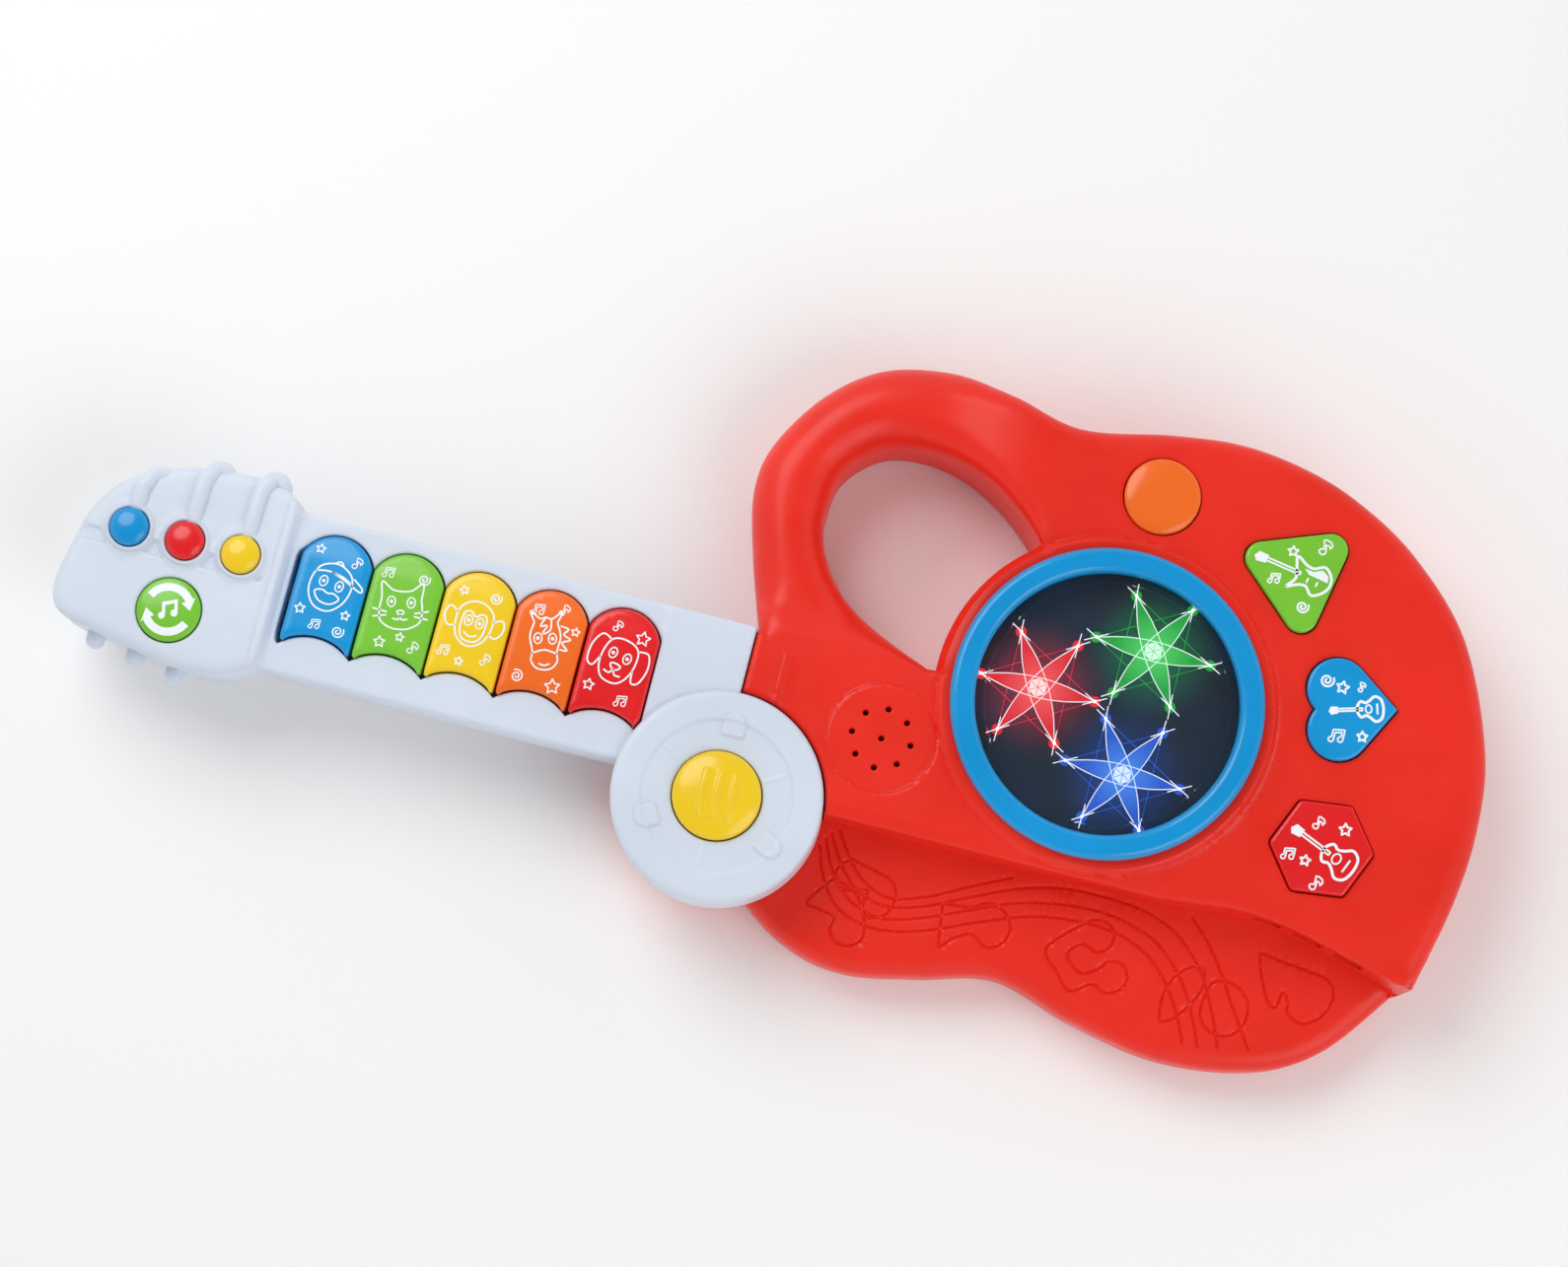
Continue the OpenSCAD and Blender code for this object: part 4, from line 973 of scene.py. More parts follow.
def seat(place, bore, r, low, high, steps):
    """Ring in a shell's wall that a screw's head sits on."""
    return lathe([(bore, low), (r, low), (r, high), (bore, high)], place, steps)


def rear_shell():
    """Back with holes for the battery door, the switch and the screws."""
    (left, low, _), (right, high, _) = box_mm("battery_door")
    left, right = left + 3, right - 7.6
    tray = np.array([(left, low), (right, low), (right, high), (left, high)])
    slot = middle_of("switch_knob") + (3, 0) + np.array([(-6, -2.5), (6, -2.5), (6, 2.5), (-6, 2.5)])
    holes = [OPENING, inset(tray, -0.25), rounded(slot, 0.8, 4)] + [circle(p, 3.2, 40) for p in BODY_SCREWS]
    shell = relief(REAR_OUTLINE, holes, rear_face, SPLIT_Z - SEAM, step=3.0, rings=BODY_RINGS, flip=True)
    seats = [seat(p, 1.4, 3.2, 4.0, 9.0, 40) for p in BODY_SCREWS]
    new_piece("rear_shell", joined(shell, *seats), "body", "red_shell", ["body_rear_shell"])


# ---- neck -----------------------------------------------------------------


NECK = np.vstack([[(NECK_RIGHT, NECK_LOW_Y), (NECK_RIGHT, PLATE_TOP_Y)], spline(HEAD_EDGE)])
WELL = key_well()


NECK_RINGS = (0.15, 0.4, 0.8, 1.5)
STRIP = (18.9, 23.1)
JOINT_X = -33.3
HEAD_SEAM_X = -151.6
HEAD_STEP_X = -148.5
COLLAR_FLAT_R = 7.2


def neck_face(points, d, near):
    """Neck, the higher headstock with its sunken strip and collars, and the raised end by the body."""
    x, y = points[:, 0], points[:, 1]
    head = 1 - smoothstep(x, HEAD_STEP_X - 1.3, HEAD_STEP_X + 1.3)
    above, below = (smoothstep(-y, edge - 0.3, edge + 0.3) for edge in STRIP)
    z = NECK_Z + (HEAD_Z - NECK_Z) * head
    z -= 0.8 * above * (1 - below) * (1 - smoothstep(x, -154.6, -153.8))
    z -= engraved(x - HEAD_SEAM_X, 0.35) * smoothstep(-y, -6, -2)
    z += 0.45 * smoothstep(x, JOINT_X - 0.3, JOINT_X + 0.3)
    at_well = np.abs(distance(near, WELL)[0]) < 0.4
    at_arrows = np.abs(np.linalg.norm(near - ARROWS, axis=1) - ARROWS_R) < 0.6
    z -= fillet(d, np.where(at_well | at_arrows, 0.7, np.where(near[:, 0] < -150, 2.8, 1.0)))
    for centre in HEAD_BUTTONS:
        r = np.linalg.norm(points - centre, axis=1)
        collar = HEAD_Z + COLLAR_RISE * (1 - smoothstep(r, COLLAR_FLAT_R, COLLAR_R))
        collar -= 0.3 * (1 - smoothstep(r, 6.15, 6.6))
        z = np.where(r < COLLAR_R, np.maximum(z, collar), z)
    return z


def ridge(button, crest):
    """Tube-like ridge from a button's collar up to its crest, hooked along the headstock's edge."""
    (x, y), (end, top) = button, (crest[0], crest[1] - RIDGE_R)
    drops = [(x + 0.4, y + 7.2, 0.4), (x + 0.5, y + 13, 0), (x + 0.8, top - 4.6, 0.2),
             (x + 2.2, top - 1.4, 0.8), (end - 2.6, top, 1.6), (end, top + 0.2, 2.4),
             (end + 1.4, top - 1.6, 4.0)]
    return tube(spline([(px, py, HEAD_Z - drop) for px, py, drop in drops], 6), RIDGE_R, 18)


RIDGE_R = 2.5
RIDGE_CRESTS = [(-190.0, 4.0), (-173.2, 9.6), (-156.4, 10.6)]


def neck_front():
    """Front of the neck and headstock, with ridges, studs and the wall under the disc, in one piece."""
    holes = [WELL] + [circle(c, HEAD_BUTTON_R + GAP, 48) for c in HEAD_BUTTONS]
    holes.append(circle(ARROWS, ARROWS_R + GAP, 72))
    lines = [arc(c, COLLAR_FLAT_R, 0, 360, 60) for c in HEAD_BUTTONS]
    lines += [[(JOINT_X, PLATE_TOP_Y), (JOINT_X, NECK_LOW_Y)], [(HEAD_SEAM_X, 4), (HEAD_SEAM_X, -52)],
              [(HEAD_STEP_X, 2), (HEAD_STEP_X, -49)], [(-154, -STRIP[0]), (-212, -STRIP[0])],
              [(-154, -STRIP[1]), (-213, -STRIP[1])]]
    low = NECK_SPLIT_Z + NECK_SEAM
    shell = relief(NECK, holes, neck_face, low, rings=NECK_RINGS + (2.6,), lines=lines, fine=0.5, reach=1.4)
    inner = STRUM_R + 6
    barrel = lathe([(inner, low), (DISC_R, low), (DISC_R, NECK_Z - 0.05), (inner, NECK_Z - 0.05)], HINGE, 144)
    ridges = [ridge(button, crest) for button, crest in zip(HEAD_BUTTONS, RIDGE_CRESTS)]
    studs = [tube([(x, y + 3.5, STUD_Z), (x, y - 1.9, STUD_Z)], 2.9, 20, 7) for x, y in STUDS]
    moulding = joined(shell, barrel, *ridges, *studs)
    new_piece("neck_front", moulding, "neck", "white_shell", ["neck_front_shell"])


NECK_SCREWS = [(-204, -24), (-156, -30), (-150, -6), (-26, -8)]


def rear_of_neck(_points, d, near):
    return NECK_LOW_Z + fillet(d, np.where(distance(near, NECK)[0] < 0.2, 1.6, 0.3))


def neck_rear():
    holes = [circle(p, 2.5, 30) for p in NECK_SCREWS]
    high = NECK_SPLIT_Z - NECK_SEAM
    shell = relief(NECK, holes, rear_of_neck, high, step=3.0, rings=NECK_RINGS, flip=True)
    seats = [seat(p, 1.2, 2.5, NECK_LOW_Z + 2.2, NECK_LOW_Z + 4, 30) for p in NECK_SCREWS]
    barrel = lathe([(POST_R, NECK_LOW_Z), (DISC_R - 1.2, NECK_LOW_Z), (DISC_R - 0.35, NECK_LOW_Z + 0.35),
                    (DISC_R, NECK_LOW_Z + 1.2), (DISC_R, high), (POST_R, high)], HINGE, 144)
    new_piece("neck_rear", joined(shell, barrel, *seats), "neck", "white_shell", ["neck_rear_shell"])


TAB_ANGLES = (90, 210, 330)
MARK_ANGLES = (270, 150, 30)
DISC_STEP_R = 22.8
TAB_NOSE_R = 22


def along_across(points, angle):
    """Distances of points from the hinge, along a direction and across it."""
    return (points - HINGE) @ unit(angle), np.abs((points - HINGE) @ unit(angle + 90))


def disc_face(points, d, near):
    """Disc sunken inside its step, with three tabs and three short lines in relief."""
    outer = np.linalg.norm(near - HINGE, axis=1) > 25
    z = DISC_Z - 0.35 - fillet(d, np.where(outer, 2.0, 0.6))
    z -= 0.75 * (1 - smoothstep(np.linalg.norm(points - HINGE, axis=1), DISC_STEP_R - 0.5, DISC_STEP_R + 0.5))
    for angle in TAB_ANGLES:
        along, across = along_across(points, angle)
        nose = np.where(along > TAB_NOSE_R, np.hypot(along - TAB_NOSE_R, across), across)
        z += 0.95 * (1 - smoothstep(nose, 3.0, 3.7)) * smoothstep(along, 17.8, 18.6)
    for angle in MARK_ANGLES:
        along, across = along_across(points, angle)
        z += 0.35 * (1 - smoothstep(across, 0.1, 0.8)) * (along > 14) * (1 - smoothstep(along, 21.2, 22.0))
    return z


def disc_cap():
    lines = [arc(HINGE, DISC_STEP_R, 0, 360, 120)]
    lines += [[HINGE + 17 * unit(angle), HINGE + 26 * unit(angle)] for angle in TAB_ANGLES]
    lines += [[HINGE + 14 * unit(angle), HINGE + 22 * unit(angle)] for angle in MARK_ANGLES]
    disc = relief(circle(HINGE, DISC_R, 160), [circle(HINGE, STRUM_R + GAP, 96)], disc_face, NECK_Z, step=1.3,
                  rings=(0.2, 0.6, 1.1, 1.8), lines=lines, fine=0.5, reach=4.4, spacing=1.0)
    new_piece("disc_cap", disc, "neck", "white_shell", ["hinge_disc"])


# ---- keys and buttons -----------------------------------------------------


def cap(name, colour, outline, face, low, **detail):
    """Moving cap of a key or button, in place of the CAD node of the same name."""
    new_piece(f"{name}_cap", relief(outline, [], face, low, **detail), name, f"{colour}_plastic", [name])


def face_height(face, outline):
    """Height of a moulded face at any points inside its outline, for the print on it."""
    return lambda points: face(points, distance(points, outline)[0], points)


def key_face(points, d, _near):
    crown = 0.5 * smoothstep(np.abs(points[:, 1] - KEY_TOP_Y), 0, 9)
    return KEY_Z - 0.55 + crown - fillet(d, 1.3)


KEY_RINGS = (0.12, 0.35, 0.7, 1.2)


def make_keys():
    for key, colour, x in zip(KEY_NAMES, KEY_COLOURS, KEY_X):
        low = box_mm(f"key_{key}")[0][2] + 1.6
        cap(f"key_{key}", colour, key_outline(x), key_face, low, step=1.6, rings=KEY_RINGS, spacing=0.9)


def dome(points, centre, r, edge_z, rise):
    """Height of a crowned round face."""
    q = np.linalg.norm(points - centre, axis=1) / r
    return edge_z + rise * np.sqrt(np.clip(1 - q**2 * 0.96, 0, 1))


def dome_button(name, colour, centre, r, low, edge_z, rise, ridges=()):
    """Round push button with a crowned face, and short upright ridges at offsets from its centre."""

    def face(points, d, _near):
        z = dome(points, centre, r, edge_z, rise) - fillet(d, 0.5) * 0.6
        for x in ridges:
            across = np.abs(points[:, 0] - centre[0] - x)
            along = np.abs(points[:, 1] - centre[1]) - 6.6
            z = z + 0.55 * (1 - smoothstep(np.maximum(across - 0.5, along), 0.0, 0.7))
        return z

    lines = [[centre + (x, -7), centre + (x, 7)] for x in ridges]
    cap(name, colour, circle(centre, r, 96), face, low, step=1.0, rings=(0.12, 0.35, 0.8), spacing=0.6,
        lines=lines, fine=0.4, reach=1.6)


def shaped_button(name, colour, outline):
    """Flat-topped push button with a slight crown. Returns its face's height."""
    top, crown = box_mm(name)[1][2], 0.55

    def face(_points, d, _near):
        return top - crown + crown * smoothstep(d, 0, 7) - fillet(d, 0.9)

    cap(name, colour, outline, face, BUTTON_LOW_Z, step=1.4, rings=(0.12, 0.3, 0.6, 1.0), spacing=0.7)
    return face_height(face, even(outline, 0.7))


def make_buttons():
    """All buttons. Returns the heights of the three that carry a picture."""
    for name, colour, centre in zip(("blue", "red", "yellow"), ("blue", "cherry", "yellow"), HEAD_BUTTONS):
        dome_button(f"head_button_{name}", colour, centre, HEAD_BUTTON_R, HEAD_Z - 3, HEAD_Z + 1.6, 2.3)
    dome_button("strum_button", "yellow", HINGE, STRUM_R, NECK_Z - 2, NECK_Z + 2.4, 3.0, (-4.6, 0, 4.6))
    dome_button("orange_button", "orange", ORANGE, ORANGE_R, BUTTON_LOW_Z, PLATE_Z + 0.6, 1.9)
    dome_button("arrows_button", "green", ARROWS, ARROWS_R, HEAD_Z - 4, *ARROWS_DOME)
    shapes = {"triangle": ("green", TRIANGLE), "heart": ("blue", HEART), "hexagon": ("cherry", HEXAGON)}
    return {name: shaped_button(f"{name}_button", *shape) for name, shape in shapes.items()}


# ---- light window ---------------------------------------------------------


def bezel():
    """Ring with a rounded crown around the window."""
    top, soft = PLATE_Z + 5, 2.2
    turn = [unit(angle) for angle in np.linspace(0, 90, 9)]
    outer = [(BEZEL_R - soft + soft * c, top - soft + soft * s) for c, s in turn]
    inner = [(WINDOW_R + soft - soft * s, top - 0.3 - soft + soft * c) for c, s in turn]
    low, seat_r = PLATE_Z - 4, BEZEL_R - 3
    profile = [(WINDOW_R + 1.2, low), (seat_r, low), (seat_r, PLATE_Z), (BEZEL_R, PLATE_Z)]
    profile += outer + inner + [(WINDOW_R, PLATE_Z + 0.6), (WINDOW_R + 1.2, PLATE_Z + 0.6)]
    new_piece("bezel_ring", lathe(profile, WINDOW, 192), "body", "blue_plastic", ["window_bezel"])


def lens():
    """Clear window: a flange, a small step and a shallow dome."""
    base = PLATE_Z + 0.6
    dome_r, rise, step = WINDOW_R - 3, 2.2, 0.8
    ball = (dome_r**2 + rise**2) / (2 * rise)
    angles = np.linspace(math.asin(dome_r / ball), 0, 20)
    crown = [(ball * math.sin(a), base + step + rise - ball + ball * math.cos(a)) for a in angles]
    profile = [(0, base - 2.4), (WINDOW_R + 1.0, base - 2.4), (WINDOW_R + 1.0, base), (dome_r + 0.4, base),
               (dome_r + 0.1, base + step - 0.2)]
    new_piece("window_dome", lathe(profile + crown, WINDOW, 160), "body", "smoked_window", ["window_lens"])


STAR_WAIST = 3.0
STAR_Z = PLATE_Z - 4.8


def star_outline(centre):
    """Union of three crossed pointed lenses, as one outline."""
    angles = np.arange(0, 360, 2.5)
    off = np.radians(np.abs((angles + 30) % 60 - 30))
    bend = STAR_WAIST * np.cos(off) ** 2 / STAR_TIP**2
    r = (-np.sin(off) + np.sqrt(np.sin(off) ** 2 + 4 * bend * STAR_WAIST)) / (2 * bend)
    a = np.radians(angles)
    return centre + r[:, None] * np.column_stack([np.cos(a), np.sin(a)])


def flat_height(z):
    return lambda points: np.full(len(points), z)


def make_star(name, centre, rgb, inner, pale):
    """Six-pointed light pattern: crossed lenses, thin rays, a bright middle and a sparkle at each tip."""
    glow = light_print(f"star_{name}_glow", inner, rgb, STAR_TIP * 0.7, 1.1)
    rays = light_print(f"star_{name}_rays", pale, (255, 255, 255), STAR_TIP, 1.2)
    angles = [60 * k for k in range(6)]
    tips = [centre + STAR_TIP * unit(angle) for angle in angles]
    middle = centre + 2.9 * np.array([unit(angle + 30) for angle in angles])
    lens_edge = np.array([(-1, 0), (-0.5, 0.75), (0, 1), (0.5, 0.75), (1, 0)]) * (STAR_TIP, STAR_WAIST)
    low, mid, high = (flat_height(STAR_Z + lift) for lift in (0.0, 0.25, 0.5))
    colour = [patch(star_outline(centre), low, 0.2)]
    white = [patch(middle, mid, 0.2)]
    for k, angle in enumerate(angles):
        colour.append(patch(circle(tips[k], 1.7, 20), low, 0.2))
        colour.append(ribbon([tips[k], tips[(k + 2) % 6]], 0.2, mid))
        colour.append(ribbon([middle[k], middle[(k + 3) % 6]], 0.18, high))
        white.append(ribbon(spline(turned(lens_edge, angle, centre), 8), 0.24, mid))
        white.append(patch(circle(tips[k], 0.55, 14), high))
        for lean in (28, -28):
            white.append(ribbon(turned([(-3.8, 0), (3.8, 0)], angle + lean, tips[k]), 0.26, high))
    origin = (*centre, STAR_Z)
    new_piece(f"star_{name}_glow", joined(*colour), "body", "star_print", material=glow, origin=origin)
    new_piece(f"star_{name}_rays", joined(*white), "body", "star_print", material=rays, origin=origin)


def star_backing():
    low, high, r = PLATE_Z - 6, PLATE_Z - 4.95, WINDOW_R + 1
    sheet = lathe([(0, low), (r, low), (r, high), (0, high)], WINDOW)
    new_piece("star_backing", sheet, "body", "star_print", ["star_panel"])


# ---- printed art ----------------------------------------------------------


def star_icon(centre, size, turn=0.0):
    return np.array([size * (0.48 if k % 2 else 1) * unit(90 + turn + 36 * k) for k in range(10)]) + centre


def spiral_icon(centre, size, turn=0.0):
    t = np.linspace(0.12, 1, 26)
    a = t * 4.2 * math.pi + math.radians(turn)
    return centre + size * np.column_stack([t * np.cos(a), t * np.sin(a)])


def icons(centre, height, stars=(), spirals=(), notes=(), width=0.42):
    """Stars, spirals and notes around a picture, at offsets from its centre."""
    lines = [(star_icon(centre + (x, y), *shape), width, True) for x, y, *shape in stars]
    lines += [(spiral_icon(centre + (x, y), *shape), width, False) for x, y, *shape in spirals]
    lines += [(note_outline(kind, centre + (x, y), size, turn), width * 0.8, True)
              for x, y, size, turn, kind in notes]
    return [ribbon(line, w, height, closed) for line, w, closed in lines]


def strokes(lines, centre, height, size, turn):
    """Line drawing: each line is (points, closed), smoothed, scaled, turned and shifted to centre."""
    return [ribbon(turned(spline(points, 6, closed) * size, turn, centre), 0.5, height, closed)
            for points, closed in lines]


def new_print(name, parts, body):
    new_piece(name, joined(*parts), body, material=INK)


DUCK = [
    ([(-5, -2), (-5.4, 2), (-4, 5.4), (0, 7), (4, 5.4), (5.4, 2), (4.8, -2), (2.6, -5), (0, -5.8),
      (-2.8, -5)], True),
    ([(-3.4, -1.6), (-1.6, -0.7), (0, -1.1), (1.6, -0.7), (3.4, -1.6), (2, -3.4), (0, -3.9),
      (-2, -3.4)], True),
    ([(-5.2, 3.4), (-2, 4.4), (2, 4.3), (5.2, 3.2)], False),
    ([(-1, 4.5), (3, 3.6), (7.6, 2.2), (7.9, 3.3), (5, 4.9)], False),
    ([(-1.2, 6.9), (0.2, 7.8), (1.4, 6.8)], False),
]
CAT = [
    ([(-5.6, -0.5), (-5.2, -3.6), (-2.6, -5.4), (0, -5.8), (2.6, -5.4), (5.2, -3.6), (5.6, -0.5),
      (5.2, 2.2)], False),
    ([(-5.6, -0.5), (-5.2, 2.6), (-5.4, 6.6), (-2.6, 4.6), (0, 4.2), (2.6, 4.6), (5.4, 6.6),
      (5.2, 2.2)], False),
    ([(-1, -1.2), (0, -2), (1, -1.2), (0, -0.8)], True),
    ([(0, -2), (-0.4, -3.2), (-2, -3)], False),
    ([(0, -2), (0.4, -3.2), (2, -3)], False),
    ([(-3.6, -1.4), (-7.4, -0.6)], False),
    ([(-3.6, -2.2), (-7.2, -2.8)], False),
    ([(3.6, -1.4), (7.4, -0.6)], False),
    ([(3.6, -2.2), (7.2, -2.8)], False),
]
MONKEY = [
    ([(-4.8, 0), (-4.4, 4), (-1.6, 6.2), (1.6, 6.2), (4.4, 4), (4.8, 0), (3.4, -3.8), (0, -5.6),
      (-3.4, -3.8)], True),
    ([(-4.8, 2.4), (-7.2, 3.4), (-8, 0.8), (-6.6, -1.6), (-4.6, -1.2)], False),
    ([(4.8, 2.4), (7.2, 3.4), (8, 0.8), (6.6, -1.6), (4.6, -1.2)], False),
    ([(-3.2, -1), (-3, 2.8), (-1.4, 3.4), (0, 2.4), (1.4, 3.4), (3, 2.8), (3.2, -1), (2.2, -3.6), (0, -4.4),
      (-2.2, -3.6)], True),
    ([(-1.8, -2.2), (0, -3), (1.8, -2.2)], False),
]
HORSE = [
    ([(-3, 5.6), (-4, 2), (-3.2, -2), (-3.4, -4.6), (-1.6, -6.6), (1.6, -6.6), (3.4, -4.6), (3.2, -2),
      (4, 2), (3, 5.6)], False),
    ([(-3, 5.6), (-4.2, 8.6), (-1.6, 6.6), (0, 7), (1.6, 6.6), (4.2, 8.6), (3, 5.6)], False),
    ([(-3.3, -2.6), (0, -1.6), (3.3, -2.6)], False),
    ([(0, 7), (-1.4, 4.6), (0.4, 4.8), (-0.8, 2.6), (1.2, 3.6), (1.4, 6.4)], False),
    ([(3.9, 4.8), (6, 4), (4.8, 2.6), (6.6, 1.2), (4.4, 0.4), (5.8, -1.6), (3.8, -1.4)], False),
    ([(-1.4, -5.2), (0, -5.7), (1.4, -5.2)], False),
]
DOG = [
    ([(-4, 4.4), (-4.6, 0.4), (-3.8, -3.2), (-1.8, -5.4), (1.8, -5.4), (3.8, -3.2), (4.6, 0.4), (4, 4.4),
      (1.8, 6), (-1.8, 6)], True),
    ([(-3.8, 4.8), (-6.6, 5.2), (-8, 1.6), (-7.4, -2.6), (-5.6, -3.4), (-4.6, -0.4)], False),
    ([(3.8, 4.8), (6.6, 5.2), (8, 1.6), (7.4, -2.6), (5.6, -3.4), (4.6, -0.4)], False),
    ([(-1.4, -0.9), (0, -0.5), (1.4, -0.9), (0.7, -2), (-0.7, -2)], True),
    ([(0, -2), (-0.8, -3.4), (-2.4, -3.2)], False),
    ([(0, -2), (0.8, -3.4), (2.4, -3.2)], False),
]
EYES = {"blue": (2.2, 1.6), "green": (2.6, 1.4), "yellow": (1.5, 1.0), "orange": (1.9, 1.4),
        "red": (2.0, 1.8)}
LEAN = {"blue": -8, "green": 10, "yellow": -4, "orange": 12, "red": -12}
FACE_SIZE = 1.15
FACES = {"blue": DUCK, "green": CAT, "yellow": MONKEY, "orange": HORSE, "red": DOG}
TRIMS = {
    "blue": dict(stars=[(-5.6, 11.4, 1.5, 0), (-7, -7.6, 1.7, 10), (6.8, -6.6, 1.5, 0)],
                 spirals=[(5.8, -11.8, 2.0, 0)],
                 notes=[(5.8, 9.6, 1.7, 0, "one"), (-1.6, -11.2, 1.6, 0, "two")]),
    "green": dict(stars=[(-3.6, -11.6, 1.8, 10), (2.0, -8.8, 1.4, 0)], spirals=[(4.6, 9.8, 1.9, 0)],
                  notes=[(-6.4, 9.4, 1.7, 0, "two"), (6.2, -11, 1.8, 0, "one")]),
    "yellow": dict(stars=[(-5.2, 9.8, 1.5, 20), (-1.4, -11.4, 1.4, 0)], spirals=[(4.6, 9.6, 1.9, 0)],
                   notes=[(-6.8, -9.2, 1.7, 0, "two"), (5.8, -9.2, 1.7, 0, "one")]),
    "orange": dict(stars=[(8, 5.6, 1.4, 0), (5.4, -12, 2.4, 12)], spirals=[(-5.8, -11.4, 2.0, 90)],
                   notes=[(-4.6, 9.6, 1.8, 0, "two"), (2.8, 11.2, 1.7, 0, "one")]),
    "red": dict(stars=[(5.8, 8.6, 2.3, 0), (-6.6, -8.6, 1.8, 0)],
                notes=[(3.8, -11.2, 1.8, 0, "two"), (-2.8, 10.6, 1.6, 0, "one")]),
}
FACE_Y = -20.0


EYE_RIM = circle((0, 0), 1.2, 24) * (1, 1.35)


def print_keys():
    """An animal's face on each key, with small shapes around it."""
    for name, x in zip(KEY_NAMES, KEY_X):
        height = face_height(key_face, key_outline(x))
        centre, lean, (eye_x, eye_y) = np.array((x, FACE_Y)), LEAN[name], EYES[name]
        eyes = centre + turned([(-eye_x, eye_y), (eye_x, eye_y)], lean) * FACE_SIZE
        parts = strokes(FACES[name], centre, height, FACE_SIZE, lean)
        parts += [patch(circle(eye, 0.6, 16), height) for eye in eyes]
        parts += [ribbon(turned(EYE_RIM, lean, eye), 0.4, height, closed=True) for eye in eyes]
        new_print(f"key_{name}_print", parts + icons(centre, height, **TRIMS[name]), f"key_{name}")


GUITARS = {
    "electric": [(-4.6, 1.9), (-2.6, 3.1), (-0.8, 1.9), (1.0, 2.2), (3.2, 3.4), (1.9, 1.0), (3.4, -2.8),
                 (0.8, -2.0), (-1.0, -1.9), (-3.2, -3.0), (-5.2, -1.7), (-5.6, 0.2)],
    "acoustic": [(-5.4, 0), (-4.8, 2.2), (-2.8, 3.0), (-1.0, 2.0), (0.4, 1.5), (1.8, 1.9), (2.9, 0.9),
                 (3.0, 0), (2.9, -0.9), (1.8, -1.9), (0.4, -1.5), (-1.0, -2.0), (-2.8, -3.0), (-4.8, -2.2)],
}
GUITAR_NECK = [(1.4, 0.3), (9.4, 0.3), (9.4, -0.3), (1.4, -0.3)]
GUITAR_HEAD = [(9.2, -0.8), (11.4, -0.9), (12.2, 0.2), (11.4, 1.1), (9.2, 0.8)]
PICK_GUARD = [(-4.6, -1.6), (-2.9, -2.3), (-1.2, -1.3), (0.9, -1.2), (-0.6, -0.4), (-4.9, -0.4)]


def guitar_icon(kind, centre, size, turn, fat, height):
    """Heavy line drawing of a small guitar: body, hole or pickups, neck and head."""
    scale = np.array((1, fat)) * size / 6

    def drawn(points):
        return turned(np.array(points) * scale, turn, centre)

    parts = [ribbon(drawn(spline(GUITARS[kind], 6, True)), 0.85, height, True),
             ribbon(drawn(GUITAR_NECK), 0.55, height, True), patch(drawn(GUITAR_HEAD), height)]
    if kind == "electric":
        parts.append(patch(drawn(PICK_GUARD), height))
        parts += [ribbon(drawn([(x, 0.2), (x, 1.2)]), 0.6, height) for x in (-2.8, -0.6)]
    else:
        parts.append(ribbon(drawn(circle((-0.6, 0), 1.0, 20)), 0.5, height, True))
        parts.append(ribbon(drawn([(-3.4, -1.3), (-3.4, 1.3)]), 0.6, height))
    return parts


BUTTON_ART = {
    "triangle": (("electric", (149.2, 56.2), 8.2, 170, 1.15),
                 dict(stars=[(143.8, 62.6, 1.7, 8)], spirals=[(150.2, 46.8, 2.0, 0)],
                      notes=[(152.4, 66, 2.3, 10, "one"), (140, 53.2, 1.7, 0, "two")])),
    "heart": (("acoustic", (175.8, 21.4), 5.6, 196, 1.35),
              dict(stars=[(167.4, 26.0, 2.0, 0), (176.4, 13, 1.7, 10)], spirals=[(162.4, 27, 2.2, 0)],
                   notes=[(172.6, 27.4, 1.4, 20, "one"), (168.8, 11.4, 2.2, 0, "two")])),
    "hexagon": (("acoustic", (176.4, -24.2), 7.6, 157, 1.3),
                dict(stars=[(177.8, -15.4, 2.0, 10), (168.2, -27.2, 1.7, 0)],
                     notes=[(169.2, -15.4, 1.9, 0, "one"), (162.8, -26.4, 1.9, 0, "two"),
                            (172.4, -33, 2.1, 0, "one")])),
}


def print_buttons(heights):
    """A small guitar on each shaped button, with small shapes around it."""
    for name, (guitar, trim) in BUTTON_ART.items():
        parts = guitar_icon(*guitar, heights[name]) + icons(np.zeros(2), heights[name], **trim, width=0.6)
        new_print(f"{name}_print", parts, f"{name}_button")


def print_arrows():
    """Two circling arrows with a music note between them."""

    def height(points):
        return dome(points, ARROWS, ARROWS_R, *ARROWS_DOME)

    parts = []
    for start in (155, -25):
        end = start - 118
        head = [9.0 * unit(end + 2), 6.6 * unit(start - 146), 4.4 * unit(end + 2)]
        arrow = np.vstack([arc((0, 0), 8.0, start, end), head, arc((0, 0), 5.6, end, start)])
        parts.append(patch(ARROWS + arrow[::-1], height))
    parts.append(patch(note_outline("two", ARROWS, 3.0, 14), height))
    new_print("arrows_print", parts, "arrows_button")


# ---- carried CAD nodes ----------------------------------------------------


def dress_cad_nodes():
    """Gives every CAD node its slot's material."""
    slots = {s["node"]: s["material_slot"] for s in frame["record"]["subparts"]}
    for name, node in frame["nodes"].items():
        for entry in node.material_slots:
            entry.material = MATERIALS[slots[name]]
        node.data.shade_smooth()
        node.data.set_sharp_from_angle(angle=math.radians(30))


# ---- stage ----------------------------------------------------------------

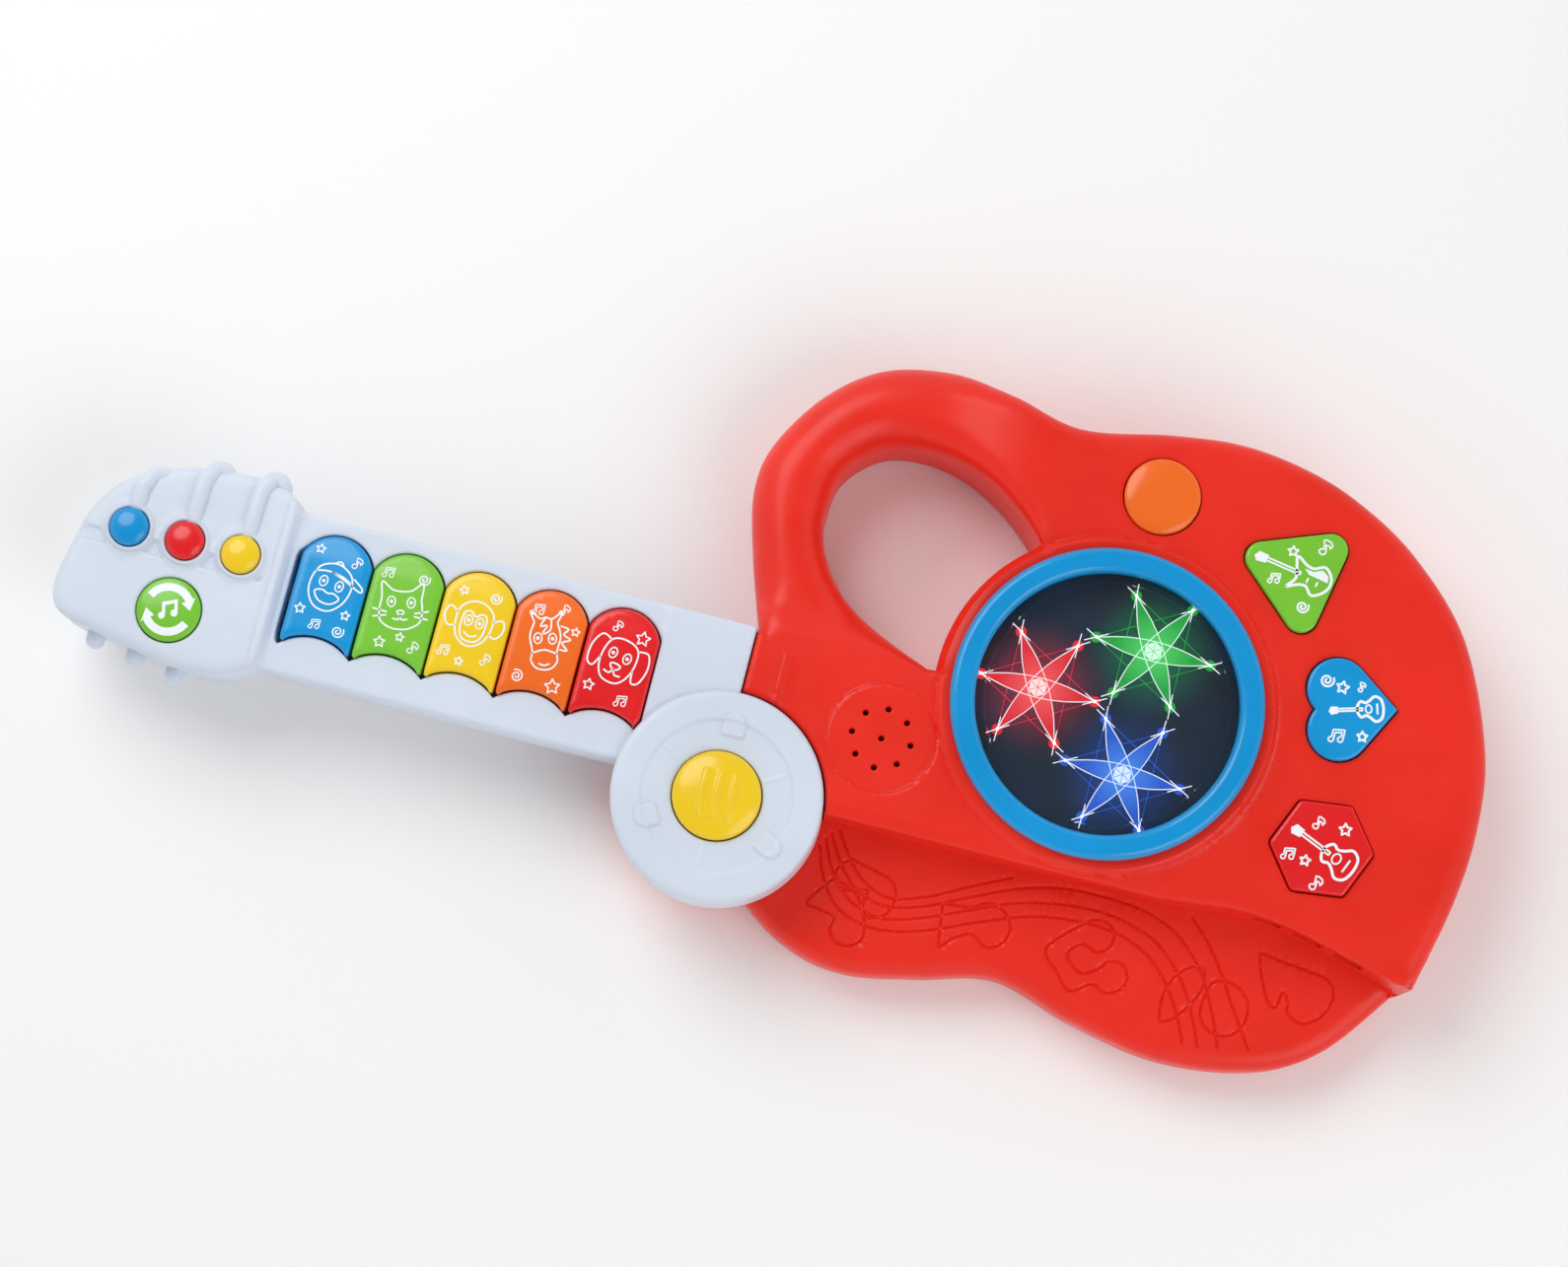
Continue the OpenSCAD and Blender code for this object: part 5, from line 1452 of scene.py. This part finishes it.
ROLL = math.radians(14.3)
TILT = math.radians(9.0)
DISTANCE = 1.15
TARGET = Vector((0.0014, 0.0025, 0.030))
SENSOR = 36
PICTURE_WIDTH = 0.47382
KEY_POWER = 7.5
FILL_POWER = 5
SIDE_GLOW = 0.85
TOP_GLOW = 0.25
FLOOR_HALF = 3.0
FLOOR_Z = -0.0002


def camera():
    flat_up = Vector((-math.sin(ROLL), math.cos(ROLL), 0))
    across, high = Vector((math.cos(ROLL), math.sin(ROLL), 0)), Vector((0, 0, 1))
    back = math.cos(TILT) * high - math.sin(TILT) * flat_up
    up = math.cos(TILT) * flat_up + math.sin(TILT) * high
    data = bpy.data.cameras.new("camera")
    data.sensor_fit = "HORIZONTAL"
    data.sensor_width = SENSOR
    data.lens = SENSOR * DISTANCE / PICTURE_WIDTH
    data.clip_start, data.clip_end = 0.05, 20
    eye = bpy.data.objects.new("camera", data)
    turn = Matrix((across, up, back)).transposed().to_4x4()
    eye.matrix_world = Matrix.Translation(TARGET + back * DISTANCE) @ turn
    bpy.context.scene.collection.objects.link(eye)
    bpy.context.scene.camera = eye


def area_light(name, place, size, power):
    data = bpy.data.lights.new(name, "AREA")
    data.shape, data.size, data.energy = "DISK", size, power
    lamp = bpy.data.objects.new(name, data)
    lamp.location = place
    lamp.rotation_euler = (TARGET - Vector(place)).to_track_quat("-Z", "Y").to_euler()
    bpy.context.scene.collection.objects.link(lamp)


def studio_world():
    """Soft light all round, bright at the horizon and darker overhead, so flat tops keep their colour."""
    world = bpy.data.worlds.new("studio")
    world.use_nodes = True
    tree = world.node_tree
    where = tree.nodes.new("ShaderNodeTexCoord")
    height = tree.nodes.new("ShaderNodeSeparateXYZ")
    ramp = tree.nodes.new("ShaderNodeValToRGB")
    ramp.color_ramp.interpolation = "EASE"
    for element, position, glow in zip(ramp.color_ramp.elements, (0.45, 0.85), (SIDE_GLOW, TOP_GLOW)):
        element.position, element.color = position, (glow, glow, glow, 1)
    background = tree.nodes["Background"]
    background.inputs["Strength"].default_value = 1.0
    tree.links.new(where.outputs["Generated"], height.inputs[0])
    tree.links.new(height.outputs["Z"], ramp.inputs["Fac"])
    tree.links.new(ramp.outputs["Color"], background.inputs["Color"])
    return world


def stage():
    """Pale floor just under the toy, soft surroundings and two wide lights."""
    n = Nodes("pale_floor")
    n.set(Base_Color=(0.93, 0.93, 0.93, 1), Roughness=0.9)
    mesh = bpy.data.meshes.new("floor")
    s, z = FLOOR_HALF, FLOOR_Z
    mesh.from_pydata([(-s, -s, z), (s, -s, z), (s, s, z), (-s, s, z)], [], [(0, 1, 2, 3)])
    mesh.materials.append(n.material)
    floor = bpy.data.objects.new("floor", mesh)
    bpy.context.scene.collection.objects.link(floor)
    bpy.context.scene.world = studio_world()
    area_light("key_light", (-0.6, 0.5, 1.0), 0.9, KEY_POWER)
    area_light("fill_light", (0.8, -0.5, 0.9), 1.0, FILL_POWER)
    bpy.context.scene.view_settings.view_transform = "Standard"


# ---- build ----------------------------------------------------------------

camera()
stage()
dress_cad_nodes()
front_shell()
deck()
rear_shell()
neck_front()
neck_rear()
disc_cap()
make_keys()
print_keys()
print_buttons(make_buttons())
print_arrows()
bezel()
lens()
star_backing()
for star in STARS:
    make_star(*star)
